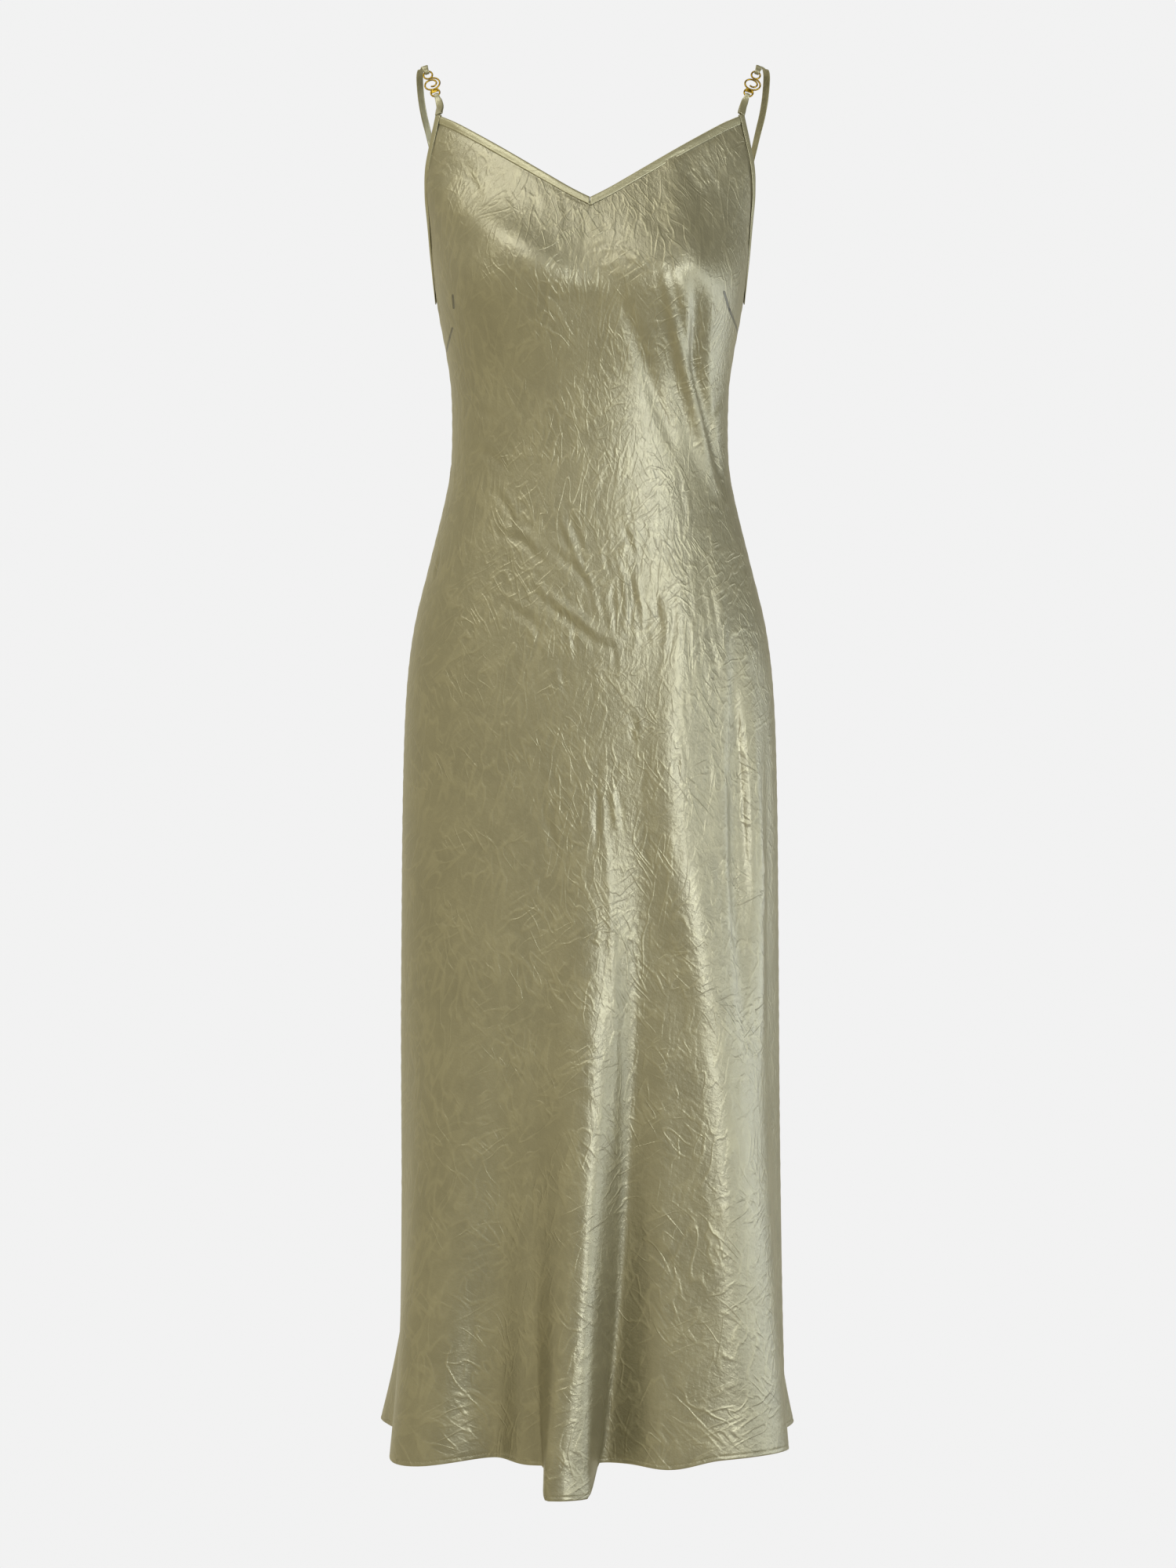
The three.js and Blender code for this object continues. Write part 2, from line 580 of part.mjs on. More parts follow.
// The stations of a strap's loop round the far wire of an eye: in along one side of it, round the
// wire and back. reach is the wire's place along the link, and way is 1 for the upper eye.
function loopStations(side, way, depth) {
  const { up, across, face, centre } = linkFrame(side);
  const wire = centre.clone().addScaledVector(up, way > 0 ? EYE_UP + EYE_RADIUS : -EYE_DOWN - EYE_RADIUS);
  const round = WIRE / 2 + 2 * SEAM_GAP + STRAP_THICK / 2;
  const flat = STRAP_THICK / 2 + SEAM_GAP;
  const shift = 0.25; // the eye's wire bends away from the loop's middle
  const place = (along, out, wide) => ({
    point: wire.clone().addScaledVector(up, way * (along - shift)).addScaledVector(face, out),
    across: across.clone(),
    wide,
  });
  const turn = [];
  for (let i = 0; i <= 6; i += 1) {
    const angle = (Math.PI * i) / 6;
    turn.push(place(-round * Math.sin(angle), round * Math.cos(angle), LOOP_WIDE));
  }
  const outside = [place(depth, flat, STRAP_WIDE), place(0.45 * depth, 1.2 * flat, 0.8 * STRAP_WIDE)];
  const inside = outside.map((s) => ({ ...s, point: s.point.clone() }));
  inside.forEach((s, i) => s.point.addScaledVector(face, -2 * (i === 0 ? flat : 1.2 * flat)));
  return { outside, turn, inside: inside.reverse() };
}

// Where a strap is sewn on at the end of the armhole binding: the middle of the binding's end,
// the way that the cloth faces, and the way across the strap.
function strapFoot(panel, column) {
  const side = Math.sign(column);
  const edge = edgeAt(panel, column);
  const outside = facing(edge.angle, edge.z);
  const into = inward(panel, column, side);
  const upward = into.clone().cross(outside).multiplyScalar(side);
  const across = into.clone().multiplyScalar(into.x > 0 ? 1 : -1);
  const middle = cloth(edge.angle, edge.z)
    .addScaledVector(into, BINDING_WIDE / 2)
    .addScaledVector(upward, 2 * SEAM_GAP)
    .addScaledVector(outside, -0.5);
  return { middle, outside, across };
}

// The short front strap: up from the binding, through the lower eye and back down, sewn in two
// layers. They leave the binding straight for the link, and bend smoothly to the way that it hangs.
function frontStrap(name, side, finish) {
  const { middle, outside, across } = strapFoot(FRONT, side * FRONT.neckColumns);
  const { up, face } = linkFrame(side);
  const loop = loopStations(side, -1, 7);
  const layer = STRAP_THICK / 2 + SEAM_GAP;
  const top = loop.outside[0];
  const end = top.point.clone().addScaledVector(face, -layer);
  const chord = end.clone().sub(middle);
  const long = chord.length();
  const bend = (t, out) => ({
    point: middle
      .clone()
      .multiplyScalar(2 * t ** 3 - 3 * t ** 2 + 1)
      .addScaledVector(chord, t ** 3 - 2 * t ** 2 + t)
      .addScaledVector(end, 3 * t ** 2 - 2 * t ** 3)
      .addScaledVector(up, long * (t ** 3 - t ** 2))
      .addScaledVector(outside.clone().lerp(face, t).normalize(), out),
    across: across.clone().lerp(top.across, t).normalize(),
    wide: STRAP_WIDE,
  });
  const stations = [
    ...[0, 0.3, 0.65].map((t) => bend(t, layer)),
    ...loop.outside,
    ...loop.turn,
    ...loop.inside,
    ...[0.65, 0.3, 0].map((t) => bend(t, -layer)),
  ];
  return bandMesh(name, stations, STRAP_THICK, finish);
}

// The long strap: a sewn loop round the upper eye, over the shoulder and down to the back.
function backStrap(name, side, finish) {
  const foot = strapFoot(BACK, -side * BACK.neckColumns);
  const { across } = linkFrame(side);
  const loop = loopStations(side, 1, 6);
  const line = BACK_STRAP.map((p, i) => ({
    point: new THREE.Vector3(side * p.x + LEAN, p.y, p.z),
    across: across.clone().lerp(foot.across, (i + 1) / (BACK_STRAP.length + 1)).normalize(),
    wide: STRAP_WIDE,
  }));
  const stations = [
    ...loop.inside.slice().reverse(),
    ...loop.turn.slice().reverse(),
    ...loop.outside.slice().reverse(),
    ...line,
    { point: foot.middle, across: foot.across, wide: STRAP_WIDE },
  ];
  return bandMesh(name, stations, STRAP_THICK, finish);
}

const dress = new THREE.Group();
dress.add(panelMesh("front_panel", FRONT, SATIN));
dress.add(panelMesh("back_panel", BACK, SATIN));
dress.add(backNeckBinding("back_neck_binding", SATIN_TRIM));
for (const [word, side] of [["left", -1], ["right", 1]]) {
  dress.add(frontNeckBinding(`front_neck_binding_${word}`, side, SATIN_TRIM));
  dress.add(armholeBinding(`armhole_binding_${word}`, side, SATIN_TRIM));
  dress.add(frontStrap(`front_strap_${word}`, side, SATIN_TRIM));
  dress.add(backStrap(`back_strap_${word}`, side, SATIN_TRIM));
  dress.add(linkMesh(`scroll_link_${word}`, side));
}

export default dress;
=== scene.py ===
"""Looks of a bias-cut satin slip dress: cloth, bindings, straps, links, stitches and a studio."""
from collections import namedtuple

import bpy
import numpy as np
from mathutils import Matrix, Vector


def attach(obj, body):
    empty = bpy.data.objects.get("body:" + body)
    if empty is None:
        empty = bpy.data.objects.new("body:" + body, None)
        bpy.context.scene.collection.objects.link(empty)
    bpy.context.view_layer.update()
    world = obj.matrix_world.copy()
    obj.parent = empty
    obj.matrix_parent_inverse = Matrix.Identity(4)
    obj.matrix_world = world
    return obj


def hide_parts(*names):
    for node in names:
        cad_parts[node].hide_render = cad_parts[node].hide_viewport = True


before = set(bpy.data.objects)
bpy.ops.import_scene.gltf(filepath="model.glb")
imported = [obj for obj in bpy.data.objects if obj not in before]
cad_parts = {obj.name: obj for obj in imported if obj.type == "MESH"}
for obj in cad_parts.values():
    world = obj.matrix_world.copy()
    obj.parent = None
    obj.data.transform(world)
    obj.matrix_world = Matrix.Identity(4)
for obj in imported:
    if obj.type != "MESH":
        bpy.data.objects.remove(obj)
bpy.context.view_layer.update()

bl_info = {
    "name": "Slip dress",
    "version": (1, 0, 0),
    "blender": (4, 5, 0),
    "location": "3D View > Sidebar > Slip dress",
    "description": "Makes the cloth, bindings, straps, links and stitches of a satin slip dress",
    "category": "Add Mesh",
}

MM = 0.001
SIDES = (("left", -1), ("right", 1))

# The dress's form, in millimetres and degrees, as the solids have it

SEAM_GAP = 0.3
BINDING_WIDE = 7
STRAP_WIDE = 6.4
STRAP_THICK = 1.2
LOOP_WIDE = 4.2
WIRE = 1.6
SPIRAL_OVAL = 1.2
SPIRAL_TURNS = 1.6
EYE_RADIUS = 4
YOKE_Z = -236
HEM_Z = -1256
LEAN = 3  # the back straps sit so far to the right
LINK_LEAN = 1.75  # and the links so far
CLOTH_INSET = 3.2  # from a bound edge to the top row of the cloth inside its binding
CALM_AT_BINDING, CALM_AT_HEM, CALM_AT_SEAM = 6, 30, 7  # how near to them creases die away
DEGREE = 2.7  # length of cloth round the dress in one degree, for small creases

# Height, half width, reach to the front, reach to the back, squareness.
Z, HALF, FRONT_REACH, BACK_REACH, SQUARE = range(5)
SECTIONS = np.array([
    (-30, 154, 76, 84, 2.3),
    (-61, 156, 83, 90, 2.3),
    (-85, 159, 91, 95, 2.3),
    (-110, 158, 99, 99, 2.3),
    (-150, 151, 112, 102, 2.35),
    (-190, 144.5, 122, 103, 2.45),
    (-212, 141, 124, 102, 2.45),
    (-236, 137, 121, 98, 2.4),
    (-262, 132, 117, 94, 2.3),
    (-295, 127.5, 111.5, 88, 2.2),
    (-340, 126.5, 108, 84, 2.2),
    (-370, 128, 107.5, 88, 2.2),
    (-400, 133.5, 108.5, 95, 2.2),
    (-455, 147, 111.5, 108, 2.2),
    (-513, 161, 115, 118, 2.2),
    (-570, 168, 118, 123, 2.2),
    (-660, 171.5, 122, 126, 2.2),
    (-800, 173, 129, 130, 2.15),
    (-950, 174, 139, 139, 2.1),
    (-1100, 176, 150, 151, 2.1),
    (-1190, 178, 158, 160, 2.1),
    (-1285, 181, 167, 169, 2.1),
])

# Broad swellings: angle and height of the middle, spread round and upwards, and rise.
Swell = namedtuple("Swell", "angle z wide tall rise")
SWELLS = [
    Swell(-33, -198, 23, 52, 13),  # left cup
    Swell(33, -198, 23, 52, 13),  # right cup
    Swell(4, -560, 42, 120, 5),  # front of hip
    Swell(-150, -600, 26, 80, 7),  # left seat
    Swell(150, -600, 26, 80, 7),  # right seat
]

# Folds that grow down to the hem: where they start, their angle there and at the hem, half their
# width there and at the hem, the level share of the crest, the rise at the hem, how far the hem
# dips, and the powers of the way down by which they rise and widen.
HemFold = namedtuple("HemFold", "top start end wide half flat rise dip power late", defaults=[1])
HEM_FOLDS = [
    HemFold(-760, -54, -56, 24, 25, 0, 27, 7, 1.5),  # left corner
    HemFold(-800, -30, -34, 14, 16, 0, -19, -2, 1.3),  # left hollow
    HemFold(-610, 2, -5.5, 21, 9.2, 0.5, 47, 22, 1.35, 3.5),  # centre flare
    HemFold(-740, 20, 6, 12, 14, 0, -26, 1, 1.35),  # centre hollow
    HemFold(-600, 47, 47.5, 28, 37, 0, 36, -6, 1.15),  # right front
    HemFold(-900, 26, 24, 9, 12, 0, 0, 5, 1),  # right front point
    HemFold(-820, 70, 73, 10, 13, 0, -7, 0, 1.4),  # right hollow
    HemFold(-960, 114, 116, 15, 19, 0, 30, -2, 2.4),  # right flare
    HemFold(-820, 137, 136, 11, 13, 0, -14, 0, 1.3),  # right back hollow
    HemFold(-700, 156, 153, 16, 13, 0.2, 34, 6, 1.4),  # right back flare
    HemFold(-780, 175, 176, 11, 12, 0, -17, 0, 1.3),  # back hollow
    HemFold(-660, 196, 199, 17, 14, 0.3, 37, 9, 1.35),  # left back flare
    HemFold(-820, 219, 220, 11, 13, 0, -15, 0, 1.3),  # left back hollow
    HemFold(-900, 240, 243, 15, 19, 0, 39, -4, 2.3),  # left flare
    HemFold(-860, 272, 273, 10, 13, 0, -9, -2, 1.6),  # left side hollow
]

# Folds that end above the hem: the heights, angles and half widths of both ends, and the rise.
ShortFold = namedtuple("ShortFold", "top bottom start end wide half rise")
SHORT_FOLDS = [
    ShortFold(-188, -400, 28, 62, 7, 7, 5),  # ridge under cup
    ShortFold(-196, -400, 37, 70, 7, 7, -6),  # trough under cup
    ShortFold(-520, -900, 59, 53, 6, 5.5, -6),  # hip trough
    ShortFold(-560, -940, 68, 62, 7, 7, 4),  # hip ridge
    ShortFold(-230, -430, 152, 140, 9, 9, -6),  # back waist trough
    ShortFold(-250, -460, 206, 214, 10, 10, 5),  # back waist ridge
]

# Where the front's threads gather beside the centre flare: angle, half width and pull.
GATHERS = [(-11.6, 5, 0.75), (1.1, 5, 0.75)]

# The edges: at the neck, distance to the side and height. At the armhole, share of the way along
# it, share of the way round to the side seam, and height.
FRONT_NECK = np.array([
    (0, -133.5), (16, -125), (45, -107), (75, -88), (102, -71), (123, -58), (140, -49),
])
BACK_NECK = np.array([(0, -196), (35, -193), (70, -183), (100, -168), (134, -148)])
FRONT_ARMHOLE = np.array([
    (0, 0, -49), (0.2, 0.05, -83), (0.45, 0.17, -125),
    (0.7, 0.28, -167), (0.86, 0.55, -196), (1, 1, -209),
])
BACK_ARMHOLE = np.array([(0, 0, -148), (0.3, 0.22, -172), (0.65, 0.55, -196), (1, 1, -209)])

# Narrow grooves in the cloth: from the top row, the stitches or the seam to the middle, half
# width and depth.
Groove = namedtuple("Groove", "away wide deep")
BINDING_GROOVE = Groove(4.3, 1.2, 0.6)
STITCH_GROOVE = Groove(0, 0.8, 0.3)
SEAM_GROOVE = Groove(0, 2.2, 0.9)

# A panel: the angle that it faces, columns from its middle to the side seam and to the neck's end,
# its edges, its share of the seam's gap, and how many fine columns stand for each.
Panel = namedtuple("Panel", "turn columns neck_columns neck armhole shift fineness")
FRONT = Panel(0, 22, 15, FRONT_NECK, FRONT_ARMHOLE, -SEAM_GAP / 2, 4)
BACK = Panel(180, 17, 11, BACK_NECK, BACK_ARMHOLE, SEAM_GAP / 2, 5)

# The right back strap from behind its loop towards its foot: to the side, to the back and height.
BACK_STRAP = np.array([
    (155.6, -7.5, -1.6),
    (158.4, 3, -0.8),
    (159.8, 12, -4.8),
    (159.8, 20, -13),
    (158.8, 27, -25),
    (156.6, 34, -38),
    (153.2, 41, -52),
    (147.6, 49, -76),
    (141, 56, -102),
])
# The right link's middle, the way up along it and the way that it faces.
LINK_CENTRE = np.array([146.25, -21, -18])
LINK_UP = np.array([0.34, 0.4, 0.85])
LINK_FACE = np.array([0.1, -0.88, 0.37])

# The bust darts' seams where they show, in metres, as distance to the side and height.
DART_LINES = [
    ((-0.1226, -0.2285), (-0.1234, -0.218)), ((-0.1307, -0.262), (-0.1245, -0.2455)),
    ((0.1345, -0.244), (0.1256, -0.229)), ((0.1256, -0.229), (0.1204, -0.2155)),
]

# Creases drawn on the front as it is seen: places as distance to the side and height, the width,
# the height of the ridge (below 0, of a trough), and a fainter opposite one beside it as a share of
# that height. Above 0 it is on the right of a line that runs down, and below 0 on the left.
Crease = namedtuple("Crease", "places wide rise beside", defaults=[0.0])
FRONT_CREASES = [
    Crease([(1, -142), (-4, -154), (-7, -184)], 4, -0.6, -0.5),
    Crease([(10, -145), (16, -169)], 3.5, -0.48, 0.5),
    Crease([(-5, -189), (4, -184), (16, -182), (33, -184), (50, -198), (67, -212)], 3.5, 0.55, 0.4),
    Crease([(66, -206), (76, -251), (84, -282), (92, -308), (104, -350), (116, -392)], 8, 2.6, 0.7),
    Crease([(28, -228), (40, -255), (58, -307), (76, -356)], 13, -2.6),
    Crease([(-150, -104), (-121, -138), (-100, -153), (-70, -175), (-37, -200), (5, -216)], 30, 4.4),
    Crease([(64, -76), (74, -103), (80, -139), (94, -188), (92, -225)], 26, 3.2),
    Crease([(-112, -96), (-100, -128), (-92, -150)], 6, -0.54, 0.4),
    Crease([(-82, -108), (-70, -136), (-64, -160)], 5, -0.42, -0.4),
    Crease([(-52, -120), (-48, -142), (-50, -160)], 5, -0.54, 0.5),
    Crease([(-30, -132), (-26, -150), (-28, -168)], 4.5, 0.48, 0.5),
    Crease([(40, -124), (44, -146), (40, -166)], 4, -0.48, 0.5),
    Crease([(62, -112), (70, -132), (88, -152)], 4.5, 0.54, 0.5),
    Crease([(78, -100), (92, -118), (108, -132)], 4.5, -0.48, 0.5),
    Crease([(96, -92), (112, -110), (126, -136)], 4, 0.42, -0.5),
    Crease([(-32, -448), (-7, -472), (0, -485)], 4.5, -1.6, 0.6),
    Crease([(-27, -417), (-16, -444), (-7, -468)], 4, 1.3, -0.6),
    Crease([(-19, -415), (-5, -451)], 4, -1.2, 0.5),
    Crease([(-54, -480), (-29, -503), (0, -525), (10, -532), (27, -535), (37, -526)], 5, -2.5, 0.8),
    Crease([(-27, -493), (-5, -512), (5, -525)], 4, 1.3, 0.5),
    Crease([(-79, -495), (-44, -515)], 5, -1.4, 0.5),
    Crease([(-86, -392), (-71, -415), (-70, -429)], 4.5, -1.4, 0.5),
    Crease([(-86, -430), (-59, -441), (-44, -461)], 5, -1.6, 0.6),
    Crease([(30, -427), (39, -451)], 4, -1.2, 0.5),
    Crease([(25, -459), (32, -480), (32, -515)], 4, 1.6, 0.7),
    Crease([(37, -480), (43, -504)], 3.5, -1.2, 0.5),
    Crease([(59, -488), (62, -515)], 4, -1.4, 0.5),
    Crease([(71, -495), (66, -540)], 4, 1.4, 0.6),
    Crease([(4, -561), (20, -556)], 3.5, -1.2, 0.5),
    Crease([(30, -591), (41, -603), (37, -613), (46, -623)], 3.5, -1.2, 0.5),
    Crease([(76, -628), (77, -652)], 4, -1.2, 0.4),
    Crease([(-5, -649), (10, -637), (22, -642)], 4, -1.3, 0.5),
    Crease([(7, -662), (6, -710)], 4.5, -1.4, 0.6),
    Crease([(20, -662), (25, -700)], 4.5, 1.3, 0.5),
    Crease([(-42, -679), (-29, -716)], 5, -1.2, 0.4),
    Crease([(128, -560), (134, -620), (138, -690), (143, -770)], 5, -2.4, 0.3),
    Crease([(146, -570), (150, -664), (158, -770)], 6, 1.6),
    Crease([(108, -420), (116, -480), (122, -560), (124, -640)], 8, 1.4, 0.3),
    Crease([(12, -690), (20, -800), (22, -900), (20, -1000)], 6, 1.2),
    Crease([(84, -474), (80, -550), (73, -640), (78, -730), (98, -850)], 38, 5.6),
    Crease([(96, -740), (108, -850), (120, -1000), (129, -1180)], 42, 5.4),
    Crease([(-102, -1110), (-105, -1190), (-109, -1254)], 24, -3.0),
    Crease([(-20, -786), (0, -794), (14, -802)], 4.5, -0.9, 0.5),
    Crease([(-24, -826), (-4, -836), (12, -838)], 4.5, -0.9, 0.5),
    Crease([(-26, -872), (-8, -884), (10, -892)], 4.5, -1.0, 0.5),
    Crease([(-30, -920), (-10, -930), (8, -944)], 5, -1.0, 0.5),
    Crease([(25, -1002), (39, -1009)], 4, -0.8, 0.5),
    Crease([(25, -1021), (47, -1026)], 4, -0.9, 0.5),
    Crease([(23, -1036), (37, -1046), (47, -1044)], 4, -0.8, 0.5),
    Crease([(28, -1051), (62, -1070), (86, -1090)], 5, -1.2, 0.6),
    Crease([(52, -804), (80, -808), (106, -807)], 5, -1.0, 0.5),
    Crease([(-134, -843), (-117, -841)], 4, -0.6, 0.4),
    Crease([(-112, -884), (-89, -893)], 4.5, -0.7, 0.4),
    Crease([(-125, -903), (-90, -913)], 4.5, -0.7, 0.4),
    Crease([(120, -300), (112, -322), (110, -345)], 5, -1.2, 0.5),
    Crease([(-118, -306), (-96, -322), (-80, -330)], 6, -1.0, 0.5),
    Crease([(-116, -352), (-92, -360), (-72, -376)], 6, -1.0, 0.5),
]
# The same for the back, still as distance to the right in the front's view.
BACK_CREASES = [
    Crease([(-96, -196), (-70, -236), (-52, -270)], 6, 1.2, 0.5),
    Crease([(92, -192), (70, -230), (58, -262)], 6, -1.2, 0.5),
    Crease([(-16, -206), (-12, -236), (-16, -262)], 5, -0.9, 0.5),
    Crease([(22, -206), (28, -240)], 5, 0.9, 0.5),
    Crease([(-92, -300), (-56, -330), (-20, -340), (18, -336)], 8, -2.0, 0.6),
    Crease([(98, -318), (62, -348), (26, -358), (-4, -352)], 7, -1.8, 0.6),
    Crease([(-104, -356), (-70, -376), (-40, -380)], 7, 1.6, 0.5),
    Crease([(-90, -420), (-58, -440), (-30, -470)], 6, -1.3, 0.5),
    Crease([(84, -416), (60, -444), (40, -480)], 6, 1.3, 0.5),
    Crease([(-12, -470), (-6, -520), (-8, -580)], 7, -1.4, 0.4),
    Crease([(58, -560), (70, -620), (66, -690)], 6, 1.2, 0.5),
    Crease([(-66, -640), (-54, -700), (-58, -760)], 7, -1.3, 0.5),
    Crease([(-120, -560), (-128, -640), (-126, -720)], 6, -1.6, 0.4),
    Crease([(118, -540), (130, -640), (134, -720)], 6, 1.5, 0.5),
    Crease([(-20, -800), (0, -812), (20, -810)], 5, -1.0, 0.5),
    Crease([(-24, -880), (-2, -890), (24, -886)], 5, -1.0, 0.5),
    Crease([(20, -960), (40, -976), (66, -978)], 5, -1.0, 0.5),
    Crease([(-90, -990), (-64, -1010), (-40, -1012)], 5, -1.1, 0.5),
]

# Regions of small loose creases: angle from the panel's middle, height, spread in degrees and
# millimetres, how many, their slant from upright and its spread, shortest and longest, and rise.
Crumple = namedtuple("Crumple", "angle z wide tall count slant spread short long rise")
FRONT_CRUMPLES = [
    Crumple(-30, -165, 22, 55, 34, 10, 90, 6, 18, 0.22),
    Crumple(26, -160, 22, 50, 30, -15, 110, 6, 16, 0.2),
    Crumple(0, -190, 16, 40, 22, 0, 50, 8, 26, 0.3),
    Crumple(-30, -420, 26, 60, 26, 45, 60, 10, 34, 0.45),
    Crumple(20, -420, 26, 70, 26, -15, 60, 10, 34, 0.4),
    Crumple(0, -500, 30, 60, 42, 10, 50, 12, 40, 0.7),
    Crumple(0, -640, 40, 90, 34, 0, 60, 14, 46, 0.5),
    Crumple(46, -560, 14, 150, 44, 5, 14, 24, 80, 0.45),
    Crumple(50, -860, 16, 220, 40, 10, 35, 18, 60, 0.5),
    Crumple(66, -780, 12, 260, 44, 70, 40, 8, 24, 0.4),
    Crumple(-5, -900, 14, 200, 26, 75, 25, 12, 34, 0.5),
    Crumple(-50, -880, 30, 220, 40, 60, 50, 14, 46, 0.32),
    Crumple(24, -1050, 22, 140, 22, 65, 40, 12, 34, 0.45),
    Crumple(-70, -420, 16, 260, 30, 40, 50, 14, 40, 0.45),
    Crumple(72, -380, 16, 200, 26, -40, 50, 14, 40, 0.45),
]
BACK_CRUMPLES = [
    Crumple(-30, -300, 40, 80, 46, 50, 50, 14, 44, 0.6),
    Crumple(30, -300, 40, 80, 46, -50, 50, 14, 44, 0.6),
    Crumple(0, -560, 50, 130, 70, 0, 60, 14, 46, 0.5),
    Crumple(-50, -760, 26, 260, 40, 10, 40, 16, 60, 0.45),
    Crumple(50, -760, 26, 260, 40, -10, 40, 16, 60, 0.45),
    Crumple(0, -1000, 50, 190, 60, 70, 40, 12, 36, 0.45),
]


# User settings


def metres(name, description, default, low, high):
    """A setting in metres."""
    return bpy.props.FloatProperty(
        name=name, description=description, default=default, min=low, max=high,
        unit="LENGTH", precision=5)


def tint(name, description, default):
    """A setting of a colour."""
    return bpy.props.FloatVectorProperty(
        name=name, description=description, default=default, min=0.0, max=1.0,
        subtype="COLOR", size=3)


def watts(name, description, default):
    """A setting of a light's power in watts."""
    return bpy.props.FloatProperty(
        name=name, description=description, default=default, min=0.0, unit="POWER")


class DressSizes(bpy.types.PropertyGroup):
    """Sizes that a maker would change without a new pattern."""

    cloth_thick: metres("Cloth thickness", "Thickness of the satin", 0.0007, 0.0003, 0.0015)
    hem_stitch: metres("Hem stitch height", "From the hem up to its stitches", 0.0036, 0.002, 0.006)
    stitch_pitch: metres("Stitch pitch", "From one stitch to the next", 0.0028, 0.002, 0.006)
    stitch_long: metres("Stitch length", "Length of a stitch that shows", 0.0021, 0.001, 0.005)
    thread: metres("Thread", "Thickness of the sewing thread", 0.00036, 0.0002, 0.0008)
    crease_depth: bpy.props.FloatProperty(
        name="Crease depth", description="How deep the wear creases are, 1 as worn",
        default=1.0, min=0.0, max=2.0)
    seed: bpy.props.IntProperty(
        name="Crease seed", description="Chooses the small creases' places", default=7, min=0)


class DressColours(bpy.types.PropertyGroup):
    """Colours of the cloth, thread and metal."""

    satin: tint("Satin", "Colour of the satin", (0.262, 0.234, 0.136))
    trim: tint("Trim", "Colour of the bindings and straps", (0.32, 0.29, 0.165))
    thread: tint("Thread", "Colour of the sewing thread", (0.42, 0.38, 0.23))
    gold: tint("Gold", "Colour of the links' metal", (0.4, 0.25, 0.026))


class StudioSettings(bpy.types.PropertyGroup):
    """The pale room round the dress and its lights."""

    pale: bpy.props.FloatProperty(
        name="Room", description="Brightness of the floor and walls", default=0.888, min=0.0, max=1.0)
    ambient: bpy.props.FloatProperty(
        name="Ambient", description="Light from all round", default=0.685, min=0.0, max=2.0)
    key: watts("Key light", "Soft light from the right", 52.0)
    front: watts("Front light", "Tall soft light from the front right", 56.0)
    top: watts("Top light", "Soft light from above the front", 52.0)
    rear: watts("Rear light", "Soft light from behind", 12.0)


# The cloth's form


def through(table, x, y, at):
    """A smooth curve through a table's rows: between two rows a cubic whose slope at each row is
    that of the straight line between the rows on either side. Past the ends it stays level."""
    xs, ys = table[:, x], table[:, y:y + 1] if np.isscalar(y) else table[:, y]
    at = np.asarray(at, float)
    way = 1 if xs[0] < xs[-1] else -1
    i = np.clip(np.searchsorted(way * xs, way * at, side="left") - 1, 0, len(xs) - 2)
    span = xs[i + 1] - xs[i]
    t = np.clip((at - xs[i]) / span, 0, 1)[..., None]

    def slope(a, b):
        return (ys[b] - ys[a]) / (xs[b] - xs[a])[..., None] * span[..., None]

    start = slope(np.maximum(i - 1, 0), i + 1)
    finish = slope(i, np.minimum(i + 2, len(xs) - 1))
    out = ((2 * t**3 - 3 * t**2 + 1) * ys[i] + (t**3 - 2 * t**2 + t) * start
           + (3 * t**2 - 2 * t**3) * ys[i + 1] + (t**3 - t**2) * finish)
    return out[..., 0] if np.isscalar(y) else out


def walked(line):
    """How far along a line each of its points is, by straight steps from one to the next."""
    return np.concatenate([[0], np.cumsum(np.linalg.norm(np.diff(line, axis=0), axis=1))])


def smooth_line(places, at):
    """The smooth curve through places, measured by the straight distance from one to the next; at
    runs from 0 to 1 along it."""
    places = np.asarray(places, float)
    along = walked(places[:, :3])
    table = np.column_stack([along, places])
    return through(table, 0, slice(1, None), np.asarray(at) * along[-1])


def turn_between(a, b):
    """The signed difference of two angles, from -180 to 180 degrees."""
    return (a - b + 180) % 360 - 180


def crest(share, flat):
    """A fold's cross-section: 1 on its level crest, then a squared cosine down to 0 at its rim."""
    slope = np.maximum(np.abs(share) - flat, 0) / (1 - flat)
    return np.where(slope < 1, np.cos(np.pi / 2 * slope) ** 2, 0)


def hem_fold(fold, angle, z):
    """A fold that grows from its top to the hem by a power of the way down, while its line and its
    width go from those at the top to those at the hem."""
    along = np.maximum((fold.top - z) / (fold.top - HEM_Z), 0)
    down = np.minimum(along, 1)
    away = turn_between(angle, fold.start + (fold.end - fold.start) * down)
    late = down**fold.late
    shape = crest(away / (fold.wide + (fold.half - fold.wide) * late), fold.flat * late**2)
    return fold.rise * shape * np.minimum(along, 1.03) ** fold.power


def short_fold(fold, angle, z):
    """A fold that swells and fades by a half sine between its two ends."""
    along = (fold.top - z) / (fold.top - fold.bottom)
    down = np.clip(along, 0, 1)
    away = turn_between(angle, fold.start + (fold.end - fold.start) * down)
    shape = crest(away / (fold.wide + (fold.half - fold.wide) * down), 0)
    return fold.rise * shape * np.sin(np.pi * down)


def bell(away, wide):
    """1 in the middle, and to the sides e to the power of minus the squared distance in widths."""
    return np.exp(-((away / wide) ** 2))


def relief(angle, z):
    """How far the cloth stands out of its oval: bell-shaped swellings, hem folds and short folds."""
    out = np.zeros(np.broadcast(angle, z).shape)
    for s in SWELLS:
        across, up = turn_between(angle, s.angle) / s.wide, (z - s.z) / s.tall
        out += s.rise * np.exp(-(across**2 + up**2))
    for fold in HEM_FOLDS:
        out += hem_fold(fold, angle, z)
    for fold in SHORT_FOLDS:
        out += short_fold(fold, angle, z)
    return out


